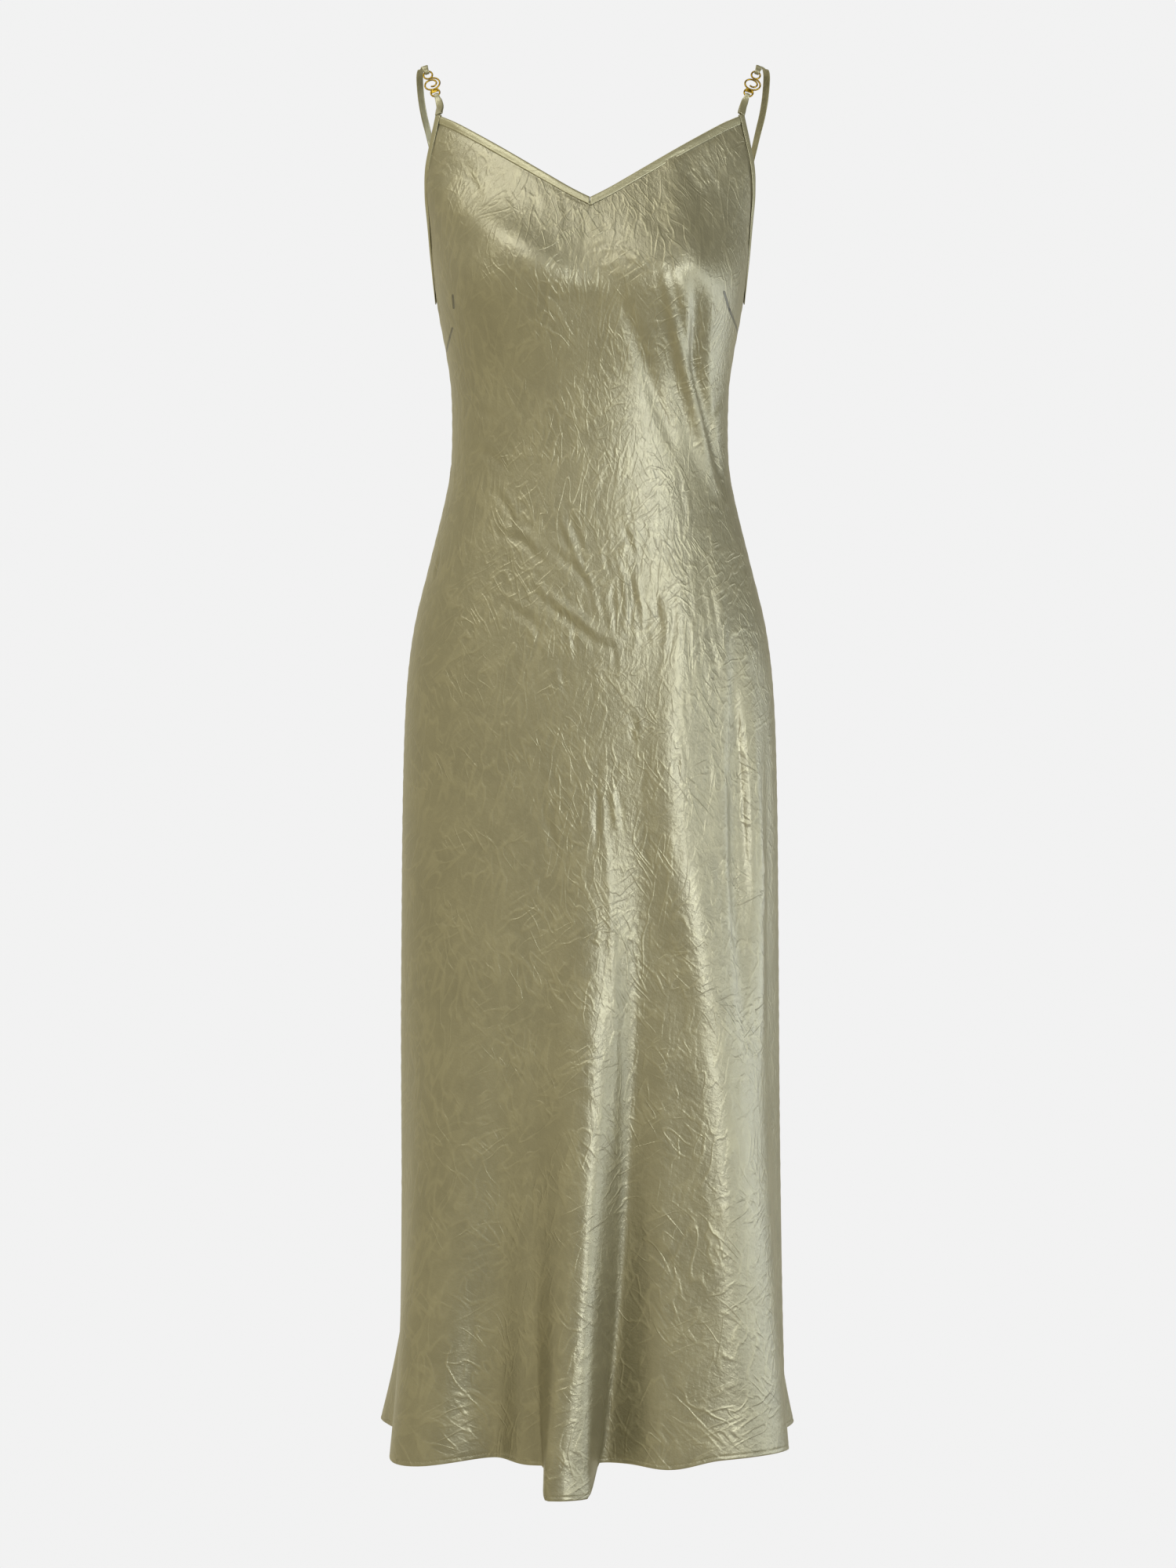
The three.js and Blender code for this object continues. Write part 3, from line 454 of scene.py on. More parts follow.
def cloth(angle, z):
    """A point of the cloth's outside: at each height a superellipse with its own half width,
    reach and squareness, moved out by the relief."""
    angle, z = np.broadcast_arrays(np.asarray(angle, float), np.asarray(z, float))
    sine, cosine = np.sin(np.radians(angle)), np.cos(np.radians(angle))
    sizes = through(SECTIONS, Z, slice(1, None), z)
    half, front, back, square = np.moveaxis(sizes, -1, 0)
    reach = np.where(cosine > 0, front, back)
    radius = (np.abs(sine / half) ** square + np.abs(cosine / reach) ** square) ** (-1 / square)
    radius = radius + relief(angle, z)
    return np.stack([radius * sine, -radius * cosine, z], axis=-1)


def unit(v):
    """Vectors divided by their own length."""
    return v / np.linalg.norm(v, axis=-1, keepdims=True)


def facing(angle, z):
    """The way that the cloth faces: across it, crossed with up it, from small steps."""
    across = cloth(angle + 0.4, z) - cloth(angle - 0.4, z)
    up = cloth(angle, np.asarray(z) + 1) - cloth(angle, np.asarray(z) - 1)
    return unit(np.cross(across, up))


def hem_height(angle):
    """The hem's level, lower where folds dip by their own cross-section."""
    dips = sum(f.dip * crest(turn_between(angle, f.end) / f.half, f.flat) for f in HEM_FOLDS)
    return HEM_Z - dips


def angle_at_side(panel, x, z):
    """The angle, from the panel's middle, where the plain oval is so far to the side."""
    reach = through(SECTIONS, Z, FRONT_REACH if panel.turn == 0 else BACK_REACH, z)
    square = through(SECTIONS, Z, SQUARE, z)
    share = np.minimum(np.abs(x) / through(SECTIONS, Z, HALF, z), 1) ** square
    return np.degrees(np.arctan2(x, reach * (1 - share) ** (1 / square)))


def edge_at(panel, column):
    """A panel's edge as angle and height: the neck curve up to the neck columns, then the armhole
    curve to the side seam."""
    column = np.asarray(column, float)
    side = np.sign(column)
    tip_x, tip_z = panel.neck[-1]
    x = tip_x * np.minimum(np.abs(column) / panel.neck_columns, 1)
    neck_z = through(panel.neck, 0, 1, x)
    at = np.clip((np.abs(column) - panel.neck_columns) / (panel.columns - panel.neck_columns), 0, 1)
    start = angle_at_side(panel, tip_x, tip_z)
    arm_angle = start + (90 - start) * through(panel.armhole, 0, 1, at)
    on_neck = np.abs(column) <= panel.neck_columns
    angle = np.where(on_neck, angle_at_side(panel, x, neck_z), arm_angle)
    return panel.turn + side * angle, np.where(on_neck, neck_z, through(panel.armhole, 0, 2, at))


def edge_point(panel, column):
    """The point of the cloth's outside on a panel's edge."""
    return cloth(*edge_at(panel, column))


def inward(panel, column, step):
    """The way into the cloth, square to its edge between a column and the next or the last one."""
    along = (edge_point(panel, column + step) - edge_point(panel, column)) * np.sign(step)
    return unit(np.cross(along, facing(*edge_at(panel, column))))


def mitre(panel, column, only=0):
    """The way into the cloth at a column, as long as it takes to be 1 mm from the edge on both
    sides, or with only, from the edge on that side. At a side seam it runs straight down."""
    if abs(column) == panel.columns:
        return np.array([0.0, 0.0, -1.0])
    if only:
        return inward(panel, column, only)
    before = inward(panel, column, -1)
    way = unit(before + inward(panel, column, 1))
    return way / np.dot(way, before)


def inset_edge(panel, into):
    """The panel's top row so far inside its edge, as a table of column, angle and height."""
    rows = []
    for column in range(-panel.columns, panel.columns + 1):
        angle, z = edge_at(panel, column)
        x, y, top = cloth(angle, z) + mitre(panel, column) * into
        rows.append((column, angle + turn_between(np.degrees(np.arctan2(x, -y)), angle), top))
    return np.array(rows)


def column_angle(panel, column, share):
    """The angle of a column below the yoke. On the front it gathers beside the centre flare."""
    angle, share = np.broadcast_arrays(90 * column / panel.columns, share)
    if panel.turn == 0:
        for centre, half, pull in GATHERS:
            away = angle - centre
            angle = angle - pull * share**3 * away * bell(away, half)
    return panel.turn + angle


# Creases


def crease_field(across, up, creases):
    """The heights of creases over points of the cloth. Each follows the smooth curve through its
    places. Across the curve it is a bell, with a lower bell of the other sign beside it, and along
    it it swells and fades by a power of a half sine."""
    out = np.zeros(across.shape)
    for c in creases:
        line = smooth_line(c.places, np.linspace(0, 1, 14))
        reach = 4 * c.wide
        near = ((across > line[:, 0].min() - reach) & (across < line[:, 0].max() + reach)
                & (up > line[:, 1].min() - reach) & (up < line[:, 1].max() + reach))
        if not near.any():
            continue
        point = np.stack([across[near], up[near]], -1)[:, None, :]
        start, way = line[:-1], np.diff(line, axis=0)
        long = np.linalg.norm(way, axis=1)
        share = np.clip(((point - start) * way).sum(-1) / long**2, 0, 1)
        away = point - (start + share[..., None] * way)
        far = np.linalg.norm(away, axis=-1)
        best = far.argmin(1)
        pick = (np.arange(len(best)), best)
        side = np.sign(way[best, 0] * away[pick][:, 1] - way[best, 1] * away[pick][:, 0])
        along = (best + share[pick]) / len(way)
        swell = np.sin(np.pi * np.clip(0.06 + 0.88 * along, 0, 1)) ** 0.8
        width = 0.62 * c.wide * (0.55 + 0.45 * swell)
        signed = side * far[pick]
        ridge = bell(signed, width)
        beside = bell(signed - np.sign(c.beside or 1) * 1.7 * width, 1.2 * width)
        out[near] += c.rise * swell * (ridge - abs(c.beside) * beside)
    return out


def crumple_lines(crumples, seed):
    """Small slightly bent creases strewn over the regions by a seeded draw, as arc and height."""
    draw = np.random.default_rng(seed)
    lines = []
    for c in crumples:
        for _ in range(c.count):
            centre = np.array([c.angle * DEGREE + draw.normal(0, 0.5) * c.wide * DEGREE,
                               c.z + draw.normal(0, 0.5) * c.tall])
            slant = np.radians(c.slant + draw.normal(0, 0.5) * c.spread)
            long = draw.uniform(c.short, c.long)
            way = np.array([np.sin(slant), -np.cos(slant)]) * long / 2
            bow = np.array([way[1], -way[0]]) * draw.normal(0, 0.18)
            rise = c.rise * draw.uniform(0.4, 1.3) * draw.choice([-1, 1])
            places = [centre - way, centre + bow, centre + way]
            lines.append(Crease(places, draw.uniform(2.8, 5.0), rise, draw.choice([-0.5, 0.5])))
    return lines


def dent(groove, distance):
    """The depth of a groove, a bell across it, at a distance from its edge, stitches or seam."""
    return groove.deep * bell(distance - groove.away, groove.wide)


def puckers(panel, point, edge_away, draw):
    """Small gathers that the bindings pull into the cloth: sines along the edge, with a wavering
    wave length, that die away from the binding inwards."""
    x, z = point[..., 0], point[..., 2]
    slope = np.radians(31 if panel.turn == 0 else 12)
    along = np.abs(x) * np.cos(slope) + z * np.sin(slope) + np.sign(x) * 3
    wave = np.zeros(x.shape)
    for size in (7.5, 10.5, 14, 19):
        waver = 2.2 * np.sin(along / draw.uniform(21, 33) + draw.uniform(0, 6))
        wave += np.sin(2 * np.pi * along / size + waver + draw.uniform(0, 6))
    patch = 0.55 + 0.45 * np.sin(along / 17 + draw.uniform(0, 6))
    return 0.14 * wave * patch * np.exp(-edge_away / 9) * (1 - np.exp(-edge_away / 2.5))


# Meshes


def grid_faces(rows, columns, round_rows=False, round_columns=False):
    """Four-sided faces between the neighbours of a grid of points, joined up at the ends where
    the rows or columns go round."""
    r = np.arange(rows if round_rows else rows - 1)[:, None]
    c = np.arange(columns if round_columns else columns - 1)[None, :]
    below, beside = (r + 1) % rows, (c + 1) % columns
    quads = [r * columns + c, below * columns + c, below * columns + beside, r * columns + beside]
    return np.stack(np.broadcast_arrays(*quads), -1).reshape(-1, 4)


def tube_faces(rings, sides):
    """The faces of a closed tube: its wall and a flat cap over each end ring."""
    wall = grid_faces(rings, sides, round_columns=True)
    first = np.arange(sides)[None, :]
    return [wall, first, (rings - 1) * sides + first[:, ::-1]]


def signed_volume(points, faces):
    """Six times a closed surface's volume: a sum of triple products over each face's fan."""
    total = 0.0
    for group in faces:
        for i in range(1, group.shape[1] - 1):
            a, b, c = points[group[:, 0]], points[group[:, i]], points[group[:, i + 1]]
            total += np.einsum("ij,ij->i", a, np.cross(b, c)).sum()
    return total


def piece(name, points, faces, finish, uv=None, nodes=(), closed=True):
    """Puts points in millimetres and groups of faces into a smooth mesh at the origin. A closed
    one is turned the right way by its volume. uv gives two lengths in metres for each point."""
    points = np.asarray(points, float).reshape(-1, 3)
    if closed and signed_volume(points - points.mean(0), faces) < 0:
        faces = [group[:, ::-1] for group in faces]
    corners = np.concatenate([group.ravel() for group in faces]).astype(np.int32)
    sizes = np.concatenate([np.full(len(group), group.shape[1]) for group in faces])
    starts = np.concatenate([[0], np.cumsum(sizes)[:-1]]).astype(np.int32)
    mesh = bpy.data.meshes.new(name)
    mesh.vertices.add(len(points))
    mesh.vertices.foreach_set("co", (points * MM).astype(np.float32).ravel())
    mesh.loops.add(len(corners))
    mesh.loops.foreach_set("vertex_index", corners)
    mesh.polygons.add(len(sizes))
    mesh.polygons.foreach_set("loop_start", starts)
    mesh.update(calc_edges=True)
    mesh.validate()
    if uv is not None:
        layer = mesh.uv_layers.new(name="cloth")
        order = np.empty(len(mesh.loops), np.int32)
        mesh.loops.foreach_get("vertex_index", order)
        layer.data.foreach_set("uv", np.asarray(uv, np.float32).reshape(-1, 2)[order].ravel())
    mesh.shade_smooth()
    mesh.materials.append(finish)
    made = bpy.data.objects.new(name, mesh)
    bpy.context.scene.collection.objects.link(made)
    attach(made, "root")
    if nodes:
        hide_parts(*nodes)
    return made


# Shaders


class Value:
    """A number that varies over a surface: a socket whose sums add Math nodes."""

    def __init__(self, finish, socket):
        self.finish, self.socket = finish, socket

    def _math(self, operation, a, b=None):
        inputs = {0: a} if b is None else {0: a, 1: b}
        return self.finish.node("ShaderNodeMath", {"operation": operation}, inputs)

    def __add__(self, other):
        return self._math("ADD", self, other)

    def __radd__(self, other):
        return self._math("ADD", other, self)

    def __sub__(self, other):
        return self._math("SUBTRACT", self, other)

    def __rsub__(self, other):
        return self._math("SUBTRACT", other, self)

    def __mul__(self, other):
        return self._math("MULTIPLY", self, other)

    def __truediv__(self, other):
        return self._math("DIVIDE", self, other)

    def __pow__(self, other):
        return self._math("POWER", self, other)

    def abs(self):
        return self._math("ABSOLUTE", self)

    def clipped(self):
        return self._math("MINIMUM", self._math("MAXIMUM", self, 0.0), 1.0)

    def steps(self, low, high):
        """0 below low, 1 above high, and smooth between."""
        return self.finish.node(
            "ShaderNodeMapRange", {"interpolation_type": "SMOOTHSTEP"},
            {"Value": self, "From Min": low, "From Max": high, "To Min": 0.0, "To Max": 1.0})


class Finish:
    """A material that is built up from nodes."""

    def __init__(self, name):
        self.material = bpy.data.materials.new(name)
        self.material.use_nodes = True
        self.tree = self.material.node_tree
        self.tree.nodes.clear()

    def node(self, kind, settings=None, inputs=None, output=0):
        """Adds a node: first its settings, then its sockets' values or links. Gives one output."""
        made = self.tree.nodes.new(kind)
        for key, value in (settings or {}).items():
            setattr(made, key, value)
        for key, value in (inputs or {}).items():
            if isinstance(value, Value):
                self.tree.links.new(value.socket, made.inputs[key])
            else:
                made.inputs[key].default_value = value
        return Value(self, made.outputs[output])

    def place(self):
        """The cloth's own two lengths, in metres."""
        return self.node("ShaderNodeUVMap", {"uv_map": "cloth"})

    def here(self):
        """The place in the dress, in metres."""
        return self.node("ShaderNodeTexCoord", output="Object")

    def part(self, vector, index):
        """One of a vector's three numbers."""
        return self.node("ShaderNodeSeparateXYZ", {}, {0: vector}, index)

    def from_line(self, a, b):
        """How far a place in the dress is from a straight line on its front, seen square on."""
        here = self.here()
        x, z = self.part(here, 0) - a[0], self.part(here, 2) - a[1]
        along = (b[0] - a[0], b[1] - a[1])
        share = ((x * along[0] + z * along[1]) / (along[0] ** 2 + along[1] ** 2)).clipped()
        away = ((x - share * along[0]) ** 2.0 + (z - share * along[1]) ** 2.0) ** 0.5
        return away + self.part(here, 1).steps(-0.02, 0.0) * 0.01

    def mapped(self, vector, scale=(1, 1, 1), turn=0.0):
        """A place scaled, or turned round the third axis by an angle."""
        return self.node("ShaderNodeMapping", {"vector_type": "POINT"},
                         {"Vector": vector, "Rotation": (0, 0, turn), "Scale": scale})

    def noise(self, vector, scale, detail=2.0, rough=0.5, bend=0.0):
        """Cloudy noise from 0 to 1 at a vector."""
        return self.node("ShaderNodeTexNoise", {"noise_dimensions": "3D"},
                         {"Vector": vector, "Scale": scale, "Detail": detail, "Roughness": rough,
                          "Distortion": bend})

    def mix(self, share, a, b):
        """One colour over another by a share."""
        made = self.tree.nodes.new("ShaderNodeMix")
        made.data_type = "RGBA"
        for socket, value in ((made.inputs[0], share), (made.inputs[6], a), (made.inputs[7], b)):
            if isinstance(value, Value):
                self.tree.links.new(value.socket, socket)
            else:
                socket.default_value = value if np.isscalar(value) else (*value[:3], 1.0)
        return Value(self, made.outputs[2])

    def bump(self, height, distance, under=None):
        """The way that a surface faces once a height bends it, on top of another bend."""
        inputs = {"Height": height, "Distance": distance, "Strength": 1.0}
        if under is not None:
            inputs["Normal"] = under
        return self.node("ShaderNodeBump", {}, inputs)

    def surface(self, **inputs):
        """A Principled surface as the material's output."""
        names = {key.replace("_", " "): value for key, value in inputs.items()}
        shader = self.node("ShaderNodeBsdfPrincipled", {}, names)
        output = self.tree.nodes.new("ShaderNodeOutputMaterial")
        self.tree.links.new(shader.socket, output.inputs["Surface"])
        return self.material


def scaled(colour, factor):
    """A colour made lighter or darker by a factor, up to white."""
    return tuple(min(c * factor, 1.0) for c in colour)


def satin(name, colour, crinkle=1.0, seams=()):
    """Crinkled bias-cut satin: long crinkles in three directions, finer ones between them, and a thread
    twill at 45 degrees to the length break up a half metallic sheen with cloudy patches.
    The mottle and the crinkle lines are also painted lighter, as painted sheen. Seams are narrow
    grooves along straight lines, painted nearly black as painted shade."""
    f = Finish(name)
    flat = f.place()

    def stretched(turn, stretch, size, detail, rough, bend=0.0):
        """Noise drawn out along a way that is turned from the cloth's own."""
        turned = f.mapped(f.mapped(flat, turn=turn), (1, stretch, 1))
        return f.noise(turned, size, detail, rough, bend)

    def lines(turn, size, stretch):
        """Crinkles where stretched noise crosses its middle: 1 on the line, 0 beside it."""
        return 1 - ((stretched(turn, stretch, size, 1, 0.5, 0.5) - 0.5).abs() * 13).steps(0, 1)

    clouds = f.noise(f.mapped(flat, (1, 0.7, 1)), 26, 3, 0.55, 0.4)
    mottle = f.noise(f.mapped(flat, (1, 0.5, 1)), 150, 3, 0.6, 0.8)
    grain = f.noise(flat, 900, 2, 0.7)
    patches = f.noise(flat, 16, 2, 0.5)
    other = f.noise(f.mapped(flat, turn=1.0), 21, 2, 0.5)
    crinkles = (lines(0.2, 84, 0.3) * patches.steps(0.4, 0.6)
                + lines(-0.6, 92, 0.32) * other.steps(0.42, 0.62)
                + lines(1.0, 88, 0.36) * (1 - patches).steps(0.48, 0.64))
    height = (crinkles * 0.55
              + stretched(0.1, 0.6, 330, 2, 0.6, 0.4) * 0.8
              + stretched(-0.9, 0.5, 270, 2, 0.55, 0.4) * 0.6
              + mottle * 0.35)
    normal = f.bump(height * crinkle, 0.0005)
    streaks = stretched(np.pi / 4, 0.06, 1500, 1, 0.5)
    normal = f.bump(streaks * 0.5 + grain * 0.5, 0.0001, under=normal)
    shade = f.mix(clouds.steps(0.3, 0.7), scaled(colour, 0.93), scaled(colour, 1.06))
    # Partly painted sheen: the mottle's patches are painted lighter, besides its real bump and
    # roughness.
    shade = f.mix(mottle.steps(0.35, 0.7) * 0.3, shade, scaled(colour, 1.2))
    shade = f.mix(grain.steps(0.3, 0.75) * 0.2, shade, scaled(colour, 0.72))
    # Painted sheen: the crinkle lines are painted lighter, as if they caught the light.
    shade = f.mix(crinkles.clipped() * 0.3 * crinkle, shade, scaled(colour, 1.5))
    for a, b in seams:
        groove = 1 - f.from_line(a, b).steps(0.0005, 0.0014)
        # Painted shade: the cloth along the seam is painted nearly black, as the shade in its groove.
        shade = f.mix(groove * 0.75, shade, scaled(colour, 0.12))
        normal = f.bump(1 - groove, 0.0006, under=normal)
    rough = 0.43 + (clouds - 0.5) * 0.16 + (mottle - 0.5) * 0.12
    return f.surface(Base_Color=shade, Roughness=rough, Normal=normal, Metallic=0.62,
                     Specular_IOR_Level=0.9, IOR=1.5, Coat_Weight=0.5, Coat_Roughness=0.4,
                     Coat_IOR=1.5)


def gold(name, colour):
    """Warm gilt wire, in cloudy darker and brighter patches, with a very fine bump."""
    f = Finish(name)
    worn = f.noise(f.here(), 420, 3, 0.6)
    shade = f.mix(worn.steps(0.3, 0.75), scaled(colour, 0.6), colour)
    rough = 0.2 + worn * 0.16
    normal = f.bump(f.noise(f.here(), 1800, 2, 0.6), 0.00006)
    return f.surface(Base_Color=shade, Metallic=1.0, Roughness=rough, Normal=normal)


def sewing_thread(name, colour):
    """Sewing thread: very fine noise that reads as its plies."""
    f = Finish(name)
    ply = f.noise(f.here(), 5200, 2, 0.6)
    shade = f.mix(ply.steps(0.3, 0.7), scaled(colour, 0.75), scaled(colour, 1.15))
    return f.surface(Base_Color=shade, Roughness=0.5 + ply * 0.1,
                     Normal=f.bump(ply, 0.00008), Sheen_Weight=0.2)


def room_paint(name, pale):
    """Evenly lit pale paint, with a very faint cloud in it."""
    f = Finish(name)
    cloud = f.noise(f.here(), 0.6, 2, 0.5)
    shade = f.mix(cloud, (pale, pale, pale), (pale * 0.998, pale * 0.998, pale * 0.997))
    return f.surface(Base_Color=(0, 0, 0, 1), Roughness=1.0, Specular_IOR_Level=0.0,
                     Emission_Color=shade, Emission_Strength=1.0)


def finish_for(kind):
    """The material of a kind, made the first time that a piece asks for it."""
    name = f"dress_{kind}"
    made = bpy.data.materials.get(name)
    if made:
        return made
    colours = bpy.context.scene.dress_colours
    if kind == "satin":
        return satin(name, tuple(colours.satin), 1.0, DART_LINES)
    if kind == "strip":
        return satin(name, tuple(colours.trim), 0.35)
    if kind == "thread":
        return sewing_thread(name, tuple(colours.thread))
    return gold(name, tuple(colours.gold))


# Pieces


def lower_rows(stitch):
    """The rows below the yoke as three columns: the share of the way to the hem, the height above
    the hem and how far inside. They end in the half circle of the turned hem and its inside."""
    tall = YOKE_Z - HEM_Z
    roll = 0.8
    count = 196
    t = np.linspace(0, 1, count)
    down = (0.62 * t + 0.38 * t**2) * (tall - 14)
    close = np.array([12, 10, 8.4, 7.2, 6.2, 5.2, stitch + 0.6, stitch, stitch - 0.6, 2.2, 1.4])
    turn = np.radians(np.arange(0, 181, 30))
    up = np.array([2.0, 3.4, 4.8, 6.0])
    share = np.concatenate([down / tall, np.ones(len(close) + len(turn) + len(up))])
    above = np.concatenate([np.zeros(count), close, roll * (1 - np.sin(turn)), up])
    inside = np.concatenate([np.zeros(count + len(close)), roll * (1 - np.cos(turn)),
                             np.full(len(up), 2 * roll)])
    return share[:, None], above[:, None], inside[:, None]


def panel_rows(panel, stitch):
    """The places of a panel's grid: its top row, then for all rows the angle, the height, the
    height above the hem (far up, 99) and how far inside. Above the yoke each column runs evenly
    from the edge that the binding hides to the yoke, and below it to the hem."""
    columns = np.linspace(-panel.columns, panel.columns, 2 * panel.columns * panel.fineness + 1)
    table = inset_edge(panel, CLOTH_INSET)
    corners = [-panel.columns, -panel.neck_columns, 0, panel.neck_columns, panel.columns]
    top = np.zeros((len(columns), 2))
    for a, b in zip(corners, corners[1:]):
        rows = table[(table[:, 0] >= a) & (table[:, 0] <= b)]
        mine = (columns >= a) & (columns <= b)
        top[mine] = through(rows, 0, slice(1, None), columns[mine])
    upper, far_up = 62, 99.0
    share = (np.arange(upper) / upper)[:, None]
    below = column_angle(panel, columns, np.zeros((1, 1)))
    angle_up = top[:, 0] + (below - top[:, 0]) * share
    z_up = top[:, 1] + (YOKE_Z - top[:, 1]) * share
    share, above, inside = lower_rows(stitch)
    angle_down = column_angle(panel, columns, share)
    z_down = YOKE_Z + (hem_height(angle_down) - YOKE_Z) * share + above
    inside = np.vstack([np.zeros((upper, 1)), inside])
    above = np.vstack([np.full((upper, 1), far_up), np.where(share < 1, far_up, above)])
    return top, np.vstack([angle_up, angle_down]), np.vstack([z_up, z_down]), above, inside


def panel_grid(panel, stitch, creases, crumples, sizes):
    """The outside of a panel as a grid. Creases, puckers, a groove along the binding, the turned
    hem's waves and stitch line, and the side seams' groove and ripple move each point along its
    own normal. Near the binding, the hem and the side seams the creases die away."""
    top, angle, z, above, inside = panel_rows(panel, stitch)
    point, normal = cloth(angle, z), facing(angle, z)
    seed = sizes.seed + panel.turn
    draw = np.random.default_rng(seed)
    x, arc = point[..., 0], (angle - panel.turn) * DEGREE
    lift = crease_field(x, z, creases) + crease_field(arc, z, crumple_lines(crumples, seed))

    edge_z = top[:, 1]
    edge_away = np.maximum(edge_z - z, 0)
    lift += puckers(panel, point, edge_away, draw)
    lift *= 1 - 0.75 * bell(edge_away, CALM_AT_BINDING)
    way = unit(np.stack([np.gradient(top[:, 0]) * DEGREE, np.gradient(edge_z)], -1))
    from_top = np.abs((angle - top[:, 0]) * DEGREE * way[:, 1] - (z - edge_z) * way[:, 0])
    on_yoke = (edge_away > 0) & (z > YOKE_Z + 6)
    lift = lift * sizes.crease_depth - dent(BINDING_GROOVE, from_top) * on_yoke

    lift = lift * np.clip((z - hem_height(angle)) / CALM_AT_HEM, 0.25, 1)
    hem_wave = sum(np.sin(arc / size + draw.uniform(0, 6)) for size in (1.25, 1.9, 3.1))
    lift += 0.1 * hem_wave * np.exp(-np.abs(above - stitch) / 3)
    lift -= dent(STITCH_GROOVE, above - stitch) * (inside < 0.01)

    seam = (90 - np.abs(angle - panel.turn)) * DEGREE
    lift = lift * (1 - bell(seam, CALM_AT_SEAM)) - dent(SEAM_GROOVE, seam)
    lift += 0.3 * np.exp(-seam / 9) * np.sin(z / 2.4 + 1.3 * np.sin(z / 17))
    point = point + normal * (lift - inside)[..., None]
    point[..., 1] += panel.shift
    return point, np.stack([arc * MM, z * MM], -1)


def make_panel(name, panel, creases, crumples, node):
    """A panel's grid as a thin shell whose outside is the grid."""
    sizes = bpy.context.scene.dress_sizes
    stitch = sizes.hem_stitch / MM
    point, uv = panel_grid(panel, stitch, creases, crumples, sizes)
    faces = grid_faces(*point.shape[:2])
    made = piece(name, point, [faces], finish_for("satin"), uv, [node], closed=False)
    shell = made.modifiers.new("thickness", "SOLIDIFY")
    shell.thickness = sizes.cloth_thick
    shell.offset = -1.0


def ring_frame(panel, column, only=0, slant=0.0, slide=0.0):
    """A binding's ring at a column: a point of the edge, the way into the cloth and out of it, and
    how the ring slides and slants along the edge."""
    angle, z = edge_at(panel, column)
    outside = facing(angle, z)
    into = mitre(panel, column, only)
    along = unit(np.cross(outside, into)) * (-1 if column < 0 else 1)
    return np.concatenate([cloth(angle, z), into, outside, along * slide, along * slant])


def neck_end_frame(panel, side):
    """The last ring of a neck binding, cut off along the side of the armhole binding."""
    column = side * panel.neck_columns
    tip = edge_point(panel, column)
    neck = unit(edge_point(panel, column - side) - tip)
    arm = unit(edge_point(panel, column + side) - tip)
    angle = np.arccos(np.dot(neck, arm))
    beside = BINDING_WIDE + 2 * SEAM_GAP
    return ring_frame(panel, column, -side, -1 / np.tan(angle), -beside / np.sin(angle))


def folded_strip():
    """A bias strip folded over the edge, as a closed outline of distances into the cloth and out
    of it: a middle line set off by half the strip's thickness to each side."""
    line = np.array([
        (7.0, 0.28), (6.5, 0.42), (5.6, 0.36), (4.4, 0.6), (2.8, 0.7), (1.4, 0.66), (0.45, 0.34),
        (0.05, -0.3), (0.45, -1.0), (1.4, -1.36), (3.0, -1.44), (5.0, -1.36), (7.0, -1.2),
    ])
    line = smooth_line(line, np.linspace(0, 1, 21))
    way = unit(np.gradient(line, axis=0))
    side = np.stack([way[:, 1], -way[:, 0]], -1) * 0.26
    ends = [line[0] - way[0] * 0.2, line[-1] + way[-1] * 0.2]
    return np.vstack([ends[0], line + side, ends[1], (line - side)[::-1]])


def binding(name, rings, per_ring, nodes, lift_first=0.0, cut_x=None):
    """A folded strip carried along an edge: the rings' frames are joined by smooth curves, and the
    outline is set into each. Slight drag lines from the stitching slant across it. lift_first is
    how far its start stands out, and cut_x cuts the start off at that distance to the side. Gives
    the line of its edge stitches and the way that they face."""
    rings = np.array(rings)
    table = np.column_stack([np.arange(len(rings)), rings])
    at = np.linspace(0, len(rings) - 1, (len(rings) - 1) * per_ring + 1)
    fine = through(table, 0, slice(1, None), at)
    origin, into, outside, slide, slant = (fine[:, None, 3 * i:3 * i + 3] for i in range(5))
    outline = folded_strip()
    a, b = outline[None, :, 0:1], outline[None, :, 1:2]
    walk = walked(origin[:, 0])
    draw = np.random.default_rng(len(name))
    phase = walk[:, None] / 5.2 + 0.5 * outline[None, :, 0] + 1.5 * np.sin(walk[:, None] / 31)
    drag = 0.05 * np.sin(phase + draw.uniform(0, 6)) * (outline[None, :, 1] > 0)
    width = 1 + 0.018 * np.sin(walk / 23 + draw.uniform(0, 6))[:, None, None]
    lift = lift_first * np.exp(-walk / 5)[:, None, None]
    points = (origin + into * a * width + outside * (b + drag[..., None] + lift)
              + slide + slant * a)
    if cut_x is not None:
        points[0, :, 0] = cut_x
    around = walked(outline)
    uv = np.stack(np.broadcast_arrays(around[None, :] * MM, walk[:, None] * MM), -1)
    faces = tube_faces(len(points), points.shape[1])
    piece(name, points, faces, finish_for("strip"), uv, nodes)
    far_in, on_top = 5.7, 0.62
    line = origin + into * far_in + slide + slant * far_in + outside * on_top
    return line[:, 0], outside[:, 0]


def neck_rings(panel, side):
    """The rings of half a neck binding, from beside the middle to its end."""
    rings = [ring_frame(panel, side * c) for c in range(1, panel.neck_columns)]
    return [*rings, neck_end_frame(panel, side)]


def armhole_rings(side):
    """The rings of an armhole binding, from the front strap under the arm to the back strap."""
    rings = [ring_frame(FRONT, side * FRONT.neck_columns, side)]
    rings += [ring_frame(FRONT, side * c) for c in range(FRONT.neck_columns + 1, FRONT.columns + 1)]
    rings += [ring_frame(BACK, -side * c) for c in range(BACK.columns - 1, BACK.neck_columns, -1)]
    return rings + [ring_frame(BACK, -side * BACK.neck_columns, -side)]


